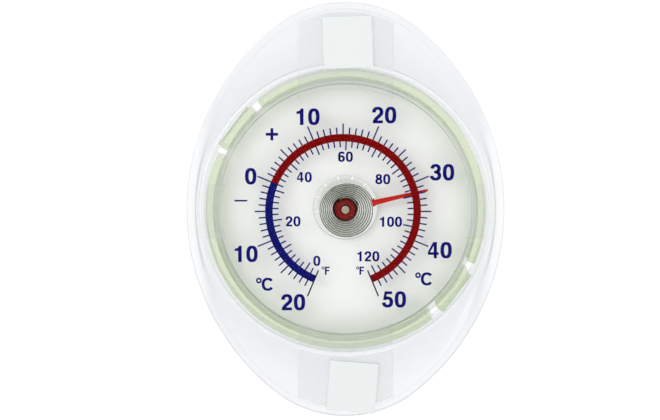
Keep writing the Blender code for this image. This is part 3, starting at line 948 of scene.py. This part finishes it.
def makeDialPlate():
    back = dial["front"] + dial["wall"]
    outline = rounded(
        [
            (dial["hole"], dial["front"], 0.15 * mm),
            (dial["radius"], dial["front"], 0.08 * mm),
            (dial["radius"], back),
            (dial["hole"], back, 0.1 * mm),
        ],
        4,
    )
    return turned("dialPlate", outline, 192, dialPlastic)


def makeLens():
    back = lens["front"] + lens["wall"]
    outline = rounded(
        [
            (0.0, lens["front"]),
            (lens["radius"], lens["front"], 0.3 * mm),
            (lens["radius"], lens["skirtBack"], 0.1 * mm),
            (lens["skirtStep"][0], lens["skirtBack"], 0.1 * mm),
            (lens["skirtStep"][0], lens["skirtStep"][1], 0.1 * mm),
            (lens["skirtInside"], lens["skirtStep"][1], 0.1 * mm),
            (lens["skirtInside"], back, 0.25 * mm),
            (0.0, back),
        ],
        4,
    )
    return turned("frontLens", outline, 192, lensPlastic)


dialPlate = makeDialPlate()
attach(dialPlate, "case")
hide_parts("dial_plate")
frontLens = makeLens()
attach(frontLens, "case")
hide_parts("front_lens")
print("dial plate and lens are ready")


# pin, washer and hub

centre = {
    "pin": 1.0 * mm,
    "pinTip": 4.2 * mm,
    "pinHead": (1.8 * mm, 14.4 * mm, 14.95 * mm),
    "washer": (2.2 * mm, 9.85 * mm, 10.15 * mm),
    "hub": 2.52 * mm,
    "hubFront": 4.7 * mm,
    "hubBack": 9.8 * mm,
    "hubFlange": (3.1 * mm, 7.7 * mm),
    "hubSlot": 0.4 * mm,
}


def makePin():
    headRadius, headFront, headBack = centre["pinHead"]
    outline = rounded(
        [
            (0.0, centre["pinTip"]),
            (centre["pin"], centre["pinTip"], 0.25 * mm),
            (centre["pin"], headFront),
            (headRadius, headFront),
            (headRadius, headBack, 0.15 * mm),
            (0.0, headBack),
        ]
    )
    return turned("centrePin", outline, 64, pinMetal)


def makeHub():
    flangeRadius, flangeFront = centre["hubFlange"]
    outline = rounded(
        [
            (cup["bore"], centre["hubFront"] + 0.1 * mm, 0.1 * mm),
            (centre["hub"] - 0.55 * mm, centre["hubFront"], 0.3 * mm),
            (centre["hub"], centre["hubFront"] + 0.55 * mm, 0.3 * mm),
            (centre["hub"], flangeFront, 0.1 * mm),
            (flangeRadius, flangeFront, 0.1 * mm),
            (flangeRadius, centre["hubBack"], 0.1 * mm),
            (cup["bore"], centre["hubBack"]),
        ],
        5,
    )
    return turned("coilHub", outline, 96, hubPlasticAndShade)


centrePin = makePin()
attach(centrePin, "case")
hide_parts("centre_pin")
washerRadius, washerFront, washerBack = centre["washer"]
corners = [(cup["bore"], washerFront), (washerRadius, washerFront, 0.05 * mm)]
corners += [(washerRadius, washerBack, 0.05 * mm), (cup["bore"], washerBack)]
hubWasher = turned("hubWasher", rounded(corners, 3), 64, pinMetal)
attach(hubWasher, "hub")
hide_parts("hub_washer")


# bimetal coil: one thin strip wound in a flat spiral

coil = {
    "front": 5.3 * mm,
    "back": 7.3 * mm,
    "wall": 0.16 * mm,
    "tail": 1.5 * mm,
    "inside": 2.7 * mm,
    "outside": 6.68 * mm,
    "turns": 8.3,
    "stepsPerTurn": 72,
    "rest": math.radians(157.5 - 4.5 * 32.05),
    "shift": (0.36 * mm, -0.4 * mm),
}


def coilStations():
    start = coil["rest"] + 2 * math.pi * coil["turns"]
    outward = polar(1.0, start)
    sideways = Vector((-outward.y, outward.x))
    made = [(outward * coil["tail"], sideways, 0.0), (outward * (coil["inside"] - 0.25 * mm), sideways, 0.0)]
    count = round(coil["turns"] * coil["stepsPerTurn"])
    for i in range(1, count + 1):
        share = i / count
        direction = polar(1.0, start - 2 * math.pi * coil["turns"] * share)
        radius = coil["inside"] + (coil["outside"] - coil["inside"]) * share
        made.append((direction * radius + Vector(coil["shift"]) * share, direction, share))
    return made


def makeCoil():
    bm = bmesh.new()
    half, soft = coil["wall"] / 2, 0.03 * mm
    section = [(half, coil["front"] + soft), (half - soft, coil["front"]), (soft - half, coil["front"])]
    section += [(-half, coil["front"] + soft), (-half, coil["back"]), (half, coil["back"])]
    rows = []
    for middle, sideways, share in coilStations():
        points = [(middle + sideways * out, y) for out, y in section]
        rows.append([bm.verts.new((p.x, y, p.y)) for p, y in points])
    bandFaces(bm, rows)
    bm.faces.new(rows[0])
    bm.faces.new(rows[-1])
    return meshObject("bimetalCoil", bm, stripMetal, 40)


coilHub = makeHub()
slotLength = centre["hub"] - coil["tail"] + 0.8 * mm
slotOutline = rectangle(slotLength, centre["hubSlot"])
hubSlot = block("hubSlot", slotOutline, coil["front"] - 0.3 * mm, centre["hubFlange"][1], hubPlasticAndShade)
shift(hubSlot, x=coil["tail"] - 0.2 * mm + slotLength / 2)
turnBy(hubSlot, coil["rest"] + 2 * math.pi * coil["turns"])
combine(coilHub, [hubSlot], "DIFFERENCE")
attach(coilHub, "hub")
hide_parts("coil_hub")

bimetalCoil = makeCoil()
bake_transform(bimetalCoil)
# works out each point's share of the strip's length; nothing in the script uses it
count = len(bimetalCoil.data.vertices)
places = np.zeros(count * 3)
bimetalCoil.data.vertices.foreach_get("co", places)
share = np.zeros(count)
for turn in range(8):
    away = np.hypot(places[0::3] - coil["shift"][0] * share, places[2::3] - coil["shift"][1] * share)
    share = np.clip((away - coil["inside"]) / (coil["outside"] - coil["inside"]), 0, 1)
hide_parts("bimetal_coil")
print("pin, hub and coil are ready")


# pointer

pointer = {
    "tip": 20.4 * mm,
    "front": 5.0 * mm,
    "wall": 0.5 * mm,
    "rootHalf": 0.65 * mm,
    "tipHalf": 0.275 * mm,
    "rootBack": 7.0 * mm,
    "rootInside": 6.58 * mm,
    "rootOutside": 7.32 * mm,
    "rootWidth": 1.7 * mm,
    "slit": 0.36 * mm,
}


def makePointer():
    outline = [
        (pointer["rootInside"] + 0.2 * mm, -pointer["rootHalf"]),
        (pointer["rootOutside"], -pointer["rootHalf"]),
        (pointer["tip"] - 0.12 * mm, -pointer["tipHalf"]),
        (pointer["tip"], -0.03 * mm),
        (pointer["tip"], 0.03 * mm),
        (pointer["tip"] - 0.12 * mm, pointer["tipHalf"]),
        (pointer["rootOutside"], pointer["rootHalf"]),
        (pointer["rootInside"] + 0.2 * mm, pointer["rootHalf"]),
    ]
    front = pointer["front"]
    needle = block("pointerNeedle", outline, front, front + pointer["wall"], needlePlastic, 0.05 * mm)
    thick = pointer["rootOutside"] - pointer["rootInside"]
    outline = rectangle(thick, pointer["rootWidth"], 0.1 * mm)
    root = block("root", outline, front, pointer["rootBack"], needlePlastic, 0.05 * mm)
    shift(root, x=(pointer["rootOutside"] + pointer["rootInside"]) / 2)
    combine(needle, [root], "UNION")
    slit = block("slit", rectangle(pointer["slit"], 4 * mm), coil["front"] - 0.1 * mm, 9 * mm, needlePlastic)
    shift(slit, x=coilStations()[-1][0].dot(polar(1.0, coil["rest"])) - 0.07 * mm)
    combine(needle, [slit], "DIFFERENCE")
    return turnBy(needle, coil["rest"])


pointerNeedle = makePointer()
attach(pointerNeedle, "pointer")
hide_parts("pointer")
print("pointer is ready")


# the printed scale, on the inner face of the lens

scale = {
    "x": -0.57 * mm,
    "z": -0.23 * mm,
    "front": 3.31 * mm,
    "thick": 0.02 * mm,
    "bandInside": 16.87 * mm,
    "bandOutside": 18.68 * mm,
    "tickWidth": 0.34 * mm,
    "zeroAt": 157.5,
    "perDegree": 4.5,
}


def scaleAngle(celsius):
    return math.radians(scale["zeroAt"] - scale["perDegree"] * celsius)


def markTree():
    tree = bpy.data.node_groups.new("markRing", "GeometryNodeTree")
    numbers = ("firstAngle", "stepAngle", "startRadius", "shortLength", "mediumLength", "longLength")
    numbers += ("mediumEvery", "longEvery", "indexShift", "width", "thick")
    wanted = [("count", "Int"), *((name, "Float") for name in numbers)]
    wanted += [("centre", "Vector"), ("material", "Material")]
    for name, kind in wanted:
        tree.interface.new_socket(name, in_out="INPUT", socket_type="NodeSocket" + kind)
    tree.interface.new_socket("geometry", in_out="OUTPUT", socket_type="NodeSocketGeometry")
    given = tree.nodes.new("NodeGroupInput").outputs
    index = tree.nodes.new("GeometryNodeInputIndex").outputs[0]
    angle = maths(tree, "MULTIPLY_ADD", index, given["stepAngle"], given["firstAngle"])
    shifted = maths(tree, "ADD", index, given["indexShift"])
    isMedium = maths(tree, "LESS_THAN", maths(tree, "FLOORED_MODULO", shifted, given["mediumEvery"]), 0.5)
    isLong = maths(tree, "LESS_THAN", maths(tree, "FLOORED_MODULO", shifted, given["longEvery"]), 0.5)
    moreMedium = maths(tree, "SUBTRACT", given["mediumLength"], given["shortLength"])
    length = maths(tree, "MULTIPLY_ADD", isMedium, moreMedium, given["shortLength"])
    moreLong = maths(tree, "SUBTRACT", given["longLength"], length)
    length = maths(tree, "MULTIPLY_ADD", isLong, moreLong, length)
    middle = maths(tree, "MULTIPLY_ADD", length, 0.5, given["startRadius"])
    x = maths(tree, "MULTIPLY", maths(tree, "COSINE", angle), middle)
    z = maths(tree, "MULTIPLY", maths(tree, "SINE", angle), middle)
    place = addNode(tree, "ShaderNodeCombineXYZ", {"X": x, "Z": z}).outputs[0]
    place = addNode(tree, "ShaderNodeVectorMath", {0: place, 1: given["centre"]}, operation="ADD").outputs[0]
    points = addNode(tree, "GeometryNodePoints", {"Count": given["count"]}).outputs[0]
    points = addNode(tree, "GeometryNodeSetPosition", {"Geometry": points, "Position": place}).outputs[0]
    cube = addNode(tree, "GeometryNodeMeshCube", {"Size": (1, 1, 1)}).outputs["Mesh"]
    turn = addNode(tree, "ShaderNodeCombineXYZ", {"Y": maths(tree, "MULTIPLY", angle, -1.0)}).outputs[0]
    turn = addNode(tree, "FunctionNodeEulerToRotation", {"Euler": turn}).outputs[0]
    size = {"X": maths(tree, "ABSOLUTE", length), "Y": given["thick"], "Z": given["width"]}
    size = addNode(tree, "ShaderNodeCombineXYZ", size).outputs[0]
    values = {"Points": points, "Instance": cube, "Rotation": turn, "Scale": size}
    copies = addNode(tree, "GeometryNodeInstanceOnPoints", values).outputs[0]
    real = addNode(tree, "GeometryNodeRealizeInstances", {"Geometry": copies}).outputs[0]
    painted = addNode(tree, "GeometryNodeSetMaterial", {"Geometry": real, "Material": given["material"]})
    tree.links.new(painted.outputs[0], tree.nodes.new("NodeGroupOutput").inputs[0])
    return tree


marks = markTree()


# grows a ring of marks and returns it as a plain mesh
def growMarks(name, settings):
    holderMesh = bpy.data.meshes.new(name + "Seed")
    seed = bpy.data.objects.new(name + "Seed", holderMesh)
    scene.collection.objects.link(seed)
    modifier = seed.modifiers.new("marks", "NODES")
    modifier.node_group = marks
    for item in marks.interface.items_tree:
        if item.item_type == "SOCKET" and item.in_out == "INPUT" and item.name in settings:
            modifier[item.identifier] = settings[item.name]
    graph = bpy.context.evaluated_depsgraph_get()
    mesh = bpy.data.meshes.new_from_object(seed.evaluated_get(graph))
    mesh.name = name
    bpy.data.objects.remove(seed, do_unlink=True)
    bpy.data.meshes.remove(holderMesh)
    made = bpy.data.objects.new(name, mesh)
    scene.collection.objects.link(made)
    return made


scaleCentre = (scale["x"], scale["front"] + scale["thick"] / 2, scale["z"])
celsiusMarks = {
    "count": 71,
    "firstAngle": scaleAngle(-20),
    "stepAngle": math.radians(-scale["perDegree"]),
    "startRadius": scale["bandOutside"],
    "shortLength": 1.6 * mm,
    "mediumLength": 2.5 * mm,
    "longLength": 3.5 * mm,
    "mediumEvery": 5.0,
    "longEvery": 10.0,
    "indexShift": 0.0,
    "width": scale["tickWidth"],
    "thick": scale["thick"],
    "centre": scaleCentre,
    "material": navyInk,
}
fahrenheitMarks = dict(
    celsiusMarks,
    count=64,
    stepAngle=math.radians(-5.0),
    startRadius=scale["bandInside"],
    shortLength=-1.4 * mm,
    mediumLength=-1.4 * mm,
    longLength=-2.1 * mm,
    longEvery=5.0,
    indexShift=3.0,
)
endMarks = dict(
    celsiusMarks,
    count=2,
    stepAngle=math.radians(-315.0),
    startRadius=15.9 * mm,
    shortLength=6.4 * mm,
    mediumLength=6.4 * mm,
    longLength=6.4 * mm,
)


def band(name, start, end, material):
    count = max(6, round(abs(end - start) / math.radians(1.5)))
    outer = [polar(scale["bandOutside"], start + (end - start) * i / count) for i in range(count + 1)]
    inner = [polar(scale["bandInside"], start + (end - start) * i / count) for i in range(count + 1)]
    bm = bmesh.new()
    rows = []
    for y in (scale["front"], scale["front"] + scale["thick"]):
        rows.append([[bm.verts.new((p.x, y, p.y)) for p in line] for line in (inner, outer)])
    (inFront, outFront), (inBack, outBack) = rows
    for i in range(count):
        bm.faces.new((inFront[i], inFront[i + 1], outFront[i + 1], outFront[i]))
        bm.faces.new((inBack[i], inBack[i + 1], outBack[i + 1], outBack[i]))
        bm.faces.new((inFront[i], inFront[i + 1], inBack[i + 1], inBack[i]))
        bm.faces.new((outFront[i], outFront[i + 1], outBack[i + 1], outBack[i]))
    for i in (0, count):
        bm.faces.new((inFront[i], outFront[i], outBack[i], inBack[i]))
    made = meshObject(name, bm, material)
    return shift(made, scale["x"], 0.0, scale["z"])


printed = [
    growMarks("celsiusTicks", celsiusMarks),
    growMarks("fahrenheitTicks", fahrenheitMarks),
    growMarks("endTicks", endMarks),
    band("coldBand", scaleAngle(-20), scaleAngle(0), coldInk),
    band("warmBand", scaleAngle(0), scaleAngle(50), warmInk),
]


# numerals and units, drawn as bold strokes on a cell one unit high

pen = {"upright": 0.222, "level": 0.178}


def arc(x, y, rx, ry, start, end, power=2.0, steps=20):
    made = []
    for i in range(steps + 1):
        angle = math.radians(start + (end - start) * i / steps)
        c, s = math.cos(angle), math.sin(angle)
        across = math.copysign(abs(c) ** (2 / power), c)
        made.append((x + rx * across, y + ry * math.copysign(abs(s) ** (2 / power), s)))
    return made


def curve(a, b, c, d, steps=12):
    made = []
    for i in range(1, steps + 1):
        t = i / steps
        u = 1 - t
        parts = (u**3, 3 * u * u * t, 3 * u * t * t, t**3)
        made.append(tuple(sum(k * p[n] for k, p in zip(parts, (a, b, c, d))) for n in (0, 1)))
    return made


# a stroke is ("pen", points, closed) or ("fill", outline, holes...)
glyphs = {
    "0": (0.68, [("pen", arc(0.34, 0.5, 0.235, 0.4175, 0, 360, 2.5, 40)[:-1], True)]),
    "1": (
        0.68,
        [
            (
                "fill",
                [(0.265, 0), (0.485, 0), (0.485, 1), (0.32, 1), (0.29, 0.92), (0.23, 0.865), (0.15, 0.835)]
                + [(0.055, 0.825), (0.055, 0.68), (0.265, 0.68)],
            )
        ],
    ),
    "2": (
        0.68,
        [
            (
                "pen",
                arc(0.335, 0.685, 0.225, 0.2325, 186, -20, 2.2, 24)
                + curve((0.546, 0.606), (0.49, 0.44), (0.2, 0.33), (0.15, 0.1)),
                False,
            ),
            ("fill", [(0.035, 0), (0.645, 0), (0.645, 0.175), (0.035, 0.175)]),
        ],
    ),
    "3": (
        0.68,
        [
            ("pen", arc(0.325, 0.72, 0.205, 0.1975, 178, -88, 2.2, 24), False),
            ("pen", arc(0.325, 0.295, 0.235, 0.2125, 88, -178, 2.2, 24), False),
            ("fill", [(0.24, 0.43), (0.4, 0.43), (0.4, 0.59), (0.24, 0.59)]),
        ],
    ),
    "4": (
        0.70,
        [
            (
                "fill",
                [(0.34, 1), (0.57, 1), (0.57, 0.375), (0.68, 0.375), (0.68, 0.215), (0.57, 0.215), (0.57, 0)]
                + [(0.375, 0), (0.375, 0.215), (0.02, 0.215), (0.02, 0.39)],
                [(0.375, 0.765), (0.375, 0.375), (0.155, 0.375)],
            )
        ],
    ),
    "5": (
        0.68,
        [
            ("fill", [(0.125, 0.825), (0.6, 0.825), (0.6, 1), (0.15, 1)]),
            ("fill", [(0.06, 0.46), (0.24, 0.46), (0.285, 0.87), (0.133, 0.9)]),
            ("pen", arc(0.325, 0.335, 0.235, 0.2525, 140, -176, 2.3, 28), False),
        ],
    ),
    "6": (
        0.68,
        [
            ("pen", arc(0.345, 0.32, 0.222, 0.2375, 0, 360, 2.2, 32)[:-1], True),
            (
                "pen",
                arc(0.355, 0.56, 0.235, 0.3575, 214, 90, 2.4, 20)
                + arc(0.355, 0.745, 0.2, 0.1725, 90, 10, 2.2, 10)[1:],
                False,
            ),
        ],
    ),
    "8": (
        0.68,
        [
            ("pen", arc(0.34, 0.735, 0.195, 0.1825, 0, 360, 2.2, 28)[:-1], True),
            ("pen", arc(0.34, 0.29, 0.232, 0.2075, 0, 360, 2.2, 32)[:-1], True),
        ],
    ),
    "C": (0.92, [("pen", arc(0.46, 0.5, 0.355, 0.411, 36, 324, 2.2, 32), False)]),
    "F": (
        0.68,
        [
            ("fill", [(0.06, 0), (0.27, 0), (0.27, 1), (0.06, 1)]),
            ("fill", [(0.25, 0.83), (0.64, 0.83), (0.64, 1), (0.25, 1)]),
            ("fill", [(0.25, 0.425), (0.58, 0.425), (0.58, 0.59), (0.25, 0.59)]),
        ],
    ),
}


# both edges of a stroke; the pen is thicker on uprights than on level runs
def strokeEdges(points, closed):
    points = [Vector(p) for p in points]
    left, right = [], []
    for i, here in enumerate(points):
        before = points[i - 1] if closed or i > 0 else here
        after = points[(i + 1) % len(points)] if closed or i < len(points) - 1 else here
        along = (after - before).normalized()
        width = pen["level"] + (pen["upright"] - pen["level"]) * abs(along.y)
        across = Vector((-along.y, along.x)) * width / 2
        left.append(here + across)
        right.append(here - across)
    return left, right


def addRibbon(bm, left, right, closed):
    thick = scale["thick"]
    rows = [[bm.verts.new((p.x, y, p.y)) for p in line] for line in (left, right) for y in (0.0, thick)]
    leftFront, leftBack, rightFront, rightBack = rows
    count = len(left)
    for i in range(count if closed else count - 1):
        j = (i + 1) % count
        bm.faces.new((leftFront[i], leftFront[j], rightFront[j], rightFront[i]))
        bm.faces.new((leftBack[i], leftBack[j], rightBack[j], rightBack[i]))
        bm.faces.new((leftFront[i], leftFront[j], leftBack[j], leftBack[i]))
        bm.faces.new((rightFront[i], rightFront[j], rightBack[j], rightBack[i]))
    if not closed:
        for i in (0, count - 1):
            bm.faces.new((leftFront[i], rightFront[i], rightBack[i], leftBack[i]))


def addPatch(bm, outlines):
    edges = []
    for outline in outlines:
        verts = [bm.verts.new((x, 0.0, z)) for x, z in outline]
        edges += [bm.edges.new(pair) for pair in zip(verts, verts[1:] + verts[:1])]
    filled = bmesh.ops.triangle_fill(bm, use_beauty=True, edges=edges)
    faces = [g for g in filled["geom"] if isinstance(g, bmesh.types.BMFace)]
    grown = bmesh.ops.extrude_face_region(bm, geom=faces, use_keep_orig=True)
    moved = [g for g in grown["geom"] if isinstance(g, bmesh.types.BMVert)]
    bmesh.ops.translate(bm, vec=(0, scale["thick"], 0), verts=moved)


# writes a string centred on (x, z), with this height
def write(bm, text, x, z, height, gap=0.09):
    advance = [glyphs[c][0] for c in text]
    total = sum(advance) + gap * (len(text) - 1)
    cursor = -total / 2
    for character, wide in zip(text, advance):
        part = bmesh.new()
        for stroke in glyphs[character][1]:
            if stroke[0] == "pen":
                left, right = strokeEdges(stroke[1], stroke[2])
                addRibbon(part, left, right, stroke[2])
            else:
                addPatch(part, stroke[1:])
        bmesh.ops.translate(part, vec=(cursor, 0, -0.5), verts=part.verts)
        bmesh.ops.scale(part, vec=(height, 1, height), verts=part.verts)
        bmesh.ops.translate(part, vec=(x, scale["front"], z), verts=part.verts)
        mesh = bpy.data.meshes.new("part")
        part.to_mesh(mesh)
        part.free()
        bm.from_mesh(mesh)
        bpy.data.meshes.remove(mesh)
        cursor += wide + gap


def addRing(bm, x, z, outer, width):
    circle = [Vector((x, z)) + polar(1.0, 2 * math.pi * i / 28) * (outer / 2) for i in range(28)]
    inside = [Vector((x, z)) + polar(1.0, 2 * math.pi * i / 28) * (outer / 2 - width) for i in range(28)]
    start = len(bm.verts)
    addRibbon(bm, circle, inside, True)
    bm.verts.ensure_lookup_table()
    for vert in bm.verts[start:]:
        vert.co.y += scale["front"]


def addBar(bm, x, z, width, height):
    start = len(bm.verts)
    outline = [(x - width / 2, z - height / 2), (x + width / 2, z - height / 2)]
    outline += [(x + width / 2, z + height / 2), (x - width / 2, z + height / 2)]
    addPatch(bm, [outline])
    bm.verts.ensure_lookup_table()
    for vert in bm.verts[start:]:
        vert.co.y += scale["front"]


outerNumerals = {
    "height": 3.95 * mm,
    "places": [
        ("10", -8.5, 22.8),
        ("20", 9.8, 23.2),
        ("30", 23.7, 9.45),
        ("40", 23.2, -9.4),
        ("50", 12.3, -21.4),
        ("20", -12.0, -22.1),
        ("10", -23.4, -10.3),
        ("0", -22.1, 8.5),
    ],
}
innerNumerals = {
    "height": 2.45 * mm,
    "places": [
        ("60", 0.55, 13.2),
        ("40", -9.3, 8.3),
        ("80", 9.5, 7.8),
        ("20", -12.0, -2.4),
        ("100", 11.4, -2.5),
        ("0", -6.3, -12.0),
        ("120", 6.0, -10.9),
    ],
}
units = {
    "celsius": [(-18.9, -17.7), (19.4, -16.4)],
    "celsiusHeight": 3.2 * mm,
    "celsiusRing": (1.4 * mm, 0.42 * mm),
    "fahrenheit": [(-4.2, -14.4), (4.1, -14.4)],
    "fahrenheitHeight": 2.0 * mm,
    "fahrenheitRing": (0.7 * mm, 0.2 * mm),
    "plus": (-17.0, 18.6, 2.95, 0.68),
    "minus": (-24.5, 2.6, 3.1, 0.41),
}


def numeralPiece(name, group):
    bm = bmesh.new()
    for text, x, z in group["places"]:
        write(bm, text, x * mm, z * mm, group["height"])
    made = meshObject(name, bm, navyInk)
    return shift(made, scale["x"], 0.0, scale["z"])


def unitPiece(name):
    bm = bmesh.new()
    for x, z in units["celsius"]:
        height, (ring, stroke) = units["celsiusHeight"], units["celsiusRing"]
        write(bm, "C", (x + 0.8) * mm, z * mm, height)
        addRing(bm, (x - 1.35) * mm, z * mm + height / 2 - ring / 2, ring, stroke)
    for x, z in units["fahrenheit"]:
        height, (ring, stroke) = units["fahrenheitHeight"], units["fahrenheitRing"]
        write(bm, "F", (x + 0.4) * mm, z * mm, height)
        addRing(bm, (x - 0.6) * mm, z * mm + height / 2 - ring / 2, ring, stroke)
    x, z, wide, bar = units["plus"]
    addBar(bm, x * mm, z * mm, wide * mm, bar * mm)
    arm = (wide - bar) / 2
    addBar(bm, x * mm, (z + (bar + arm) / 2) * mm, bar * mm, arm * mm)
    addBar(bm, x * mm, (z - (bar + arm) / 2) * mm, bar * mm, arm * mm)
    x, z, wide, bar = units["minus"]
    addBar(bm, x * mm, z * mm, wide * mm, bar * mm)
    made = meshObject(name, bm, navyInk)
    return shift(made, scale["x"], 0.0, scale["z"])


printed += [
    numeralPiece("outerNumerals", outerNumerals),
    numeralPiece("innerNumerals", innerNumerals),
    unitPiece("unitMarks"),
]
for piece in printed:
    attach(piece, "case")
print("scale is printed:", len(printed), "pieces")


# floor, light and camera

studio = {
    "floorDrop": -0.35,
    "floorSize": 21.0,
    "floorPlace": 10.2,
    "keyPlace": (-0.55, -0.88, 0.33),
    "keySize": 0.5,
    "keyPower": 2.2,
    "zenith": 1.12,
    "horizon": 1.05,
    "under": 1.45,
    "front": 1.09,
}


def makeFloor():
    bm = bmesh.new()
    bmesh.ops.create_grid(bm, x_segments=8, y_segments=8, size=studio["floorSize"] / 2)
    made, tree = freshMaterial("floorPaint")
    cloud = speckle(tree, 0.25, 3.0)
    grain = speckle(tree, 0.004, 3.0)
    share = spread(tree, cloud, 0.0, 1.0)
    values = {
        "Base Color": blendColour(tree, share, (0.92, 0.92, 0.92), (0.91, 0.91, 0.91)),
        "Roughness": spread(tree, grain, 0.75, 0.9),
        "Normal": bumpFrom(tree, grain, 0.0002),
        "Specular IOR Level": 0.1,
    }
    finishPrincipled(made, values, (0.9, 0.9, 0.9))
    floor = meshObject("studioFloor", bm, made)
    floor.location = (0, studio["floorPlace"], studio["floorDrop"])
    return floor


# an even white room, a little brighter overhead and low in front
def makeWorld():
    world = bpy.data.worlds.new("softStudio")
    world.use_nodes = True
    tree = world.node_tree
    tree.nodes.clear()
    direction = addNode(tree, "ShaderNodeTexCoord").outputs["Generated"]
    parts = addNode(tree, "ShaderNodeSeparateXYZ", {"Vector": direction})
    up = spread(tree, parts.outputs["Z"], studio["horizon"], studio["zenith"], 0.0, 0.8)
    front = spread(tree, parts.outputs["Y"], studio["front"], 1.0, -0.8, 0.0)
    below = spread(tree, parts.outputs["Z"], studio["under"], 1.0, -0.6, -0.25)
    strength = maths(tree, "MULTIPLY", up, maths(tree, "MULTIPLY", front, below))
    values = {"Color": (1, 1, 1, 1), "Strength": strength}
    background = addNode(tree, "ShaderNodeBackground", values).outputs[0]
    out = tree.nodes.new("ShaderNodeOutputWorld")
    tree.links.new(background, out.inputs["Surface"])
    scene.world = world


def makeKey():
    light = bpy.data.lights.new("keyLight", "AREA")
    light.shape = "DISK"
    light.size = studio["keySize"]
    light.energy = studio["keyPower"]
    made = bpy.data.objects.new("keyLight", light)
    scene.collection.objects.link(made)
    made.location = studio["keyPlace"]
    made.rotation_euler = (-Vector(studio["keyPlace"])).to_track_quat("-Z", "Y").to_euler()


view = {
    "distance": 600 * mm,
    "elevation": math.radians(8.0),
    "lens": 137.0,
    "aim": (-3.7 * mm, 1.3 * mm, 0.4 * mm),
}


def makeCamera():
    data = bpy.data.cameras.new("mainCamera")
    data.lens = view["lens"]
    data.sensor_width = 36.0
    data.clip_start, data.clip_end = 0.01, 20.0
    made = bpy.data.objects.new("mainCamera", data)
    scene.collection.objects.link(made)
    aim = Vector(view["aim"])
    back = Vector((0, -math.cos(view["elevation"]), math.sin(view["elevation"])))
    made.location = aim + back * view["distance"]
    made.rotation_euler = (-back).to_track_quat("-Z", "Y").to_euler()
    scene.camera = made


makeFloor()
makeWorld()
makeKey()
makeCamera()
print("studio is ready")
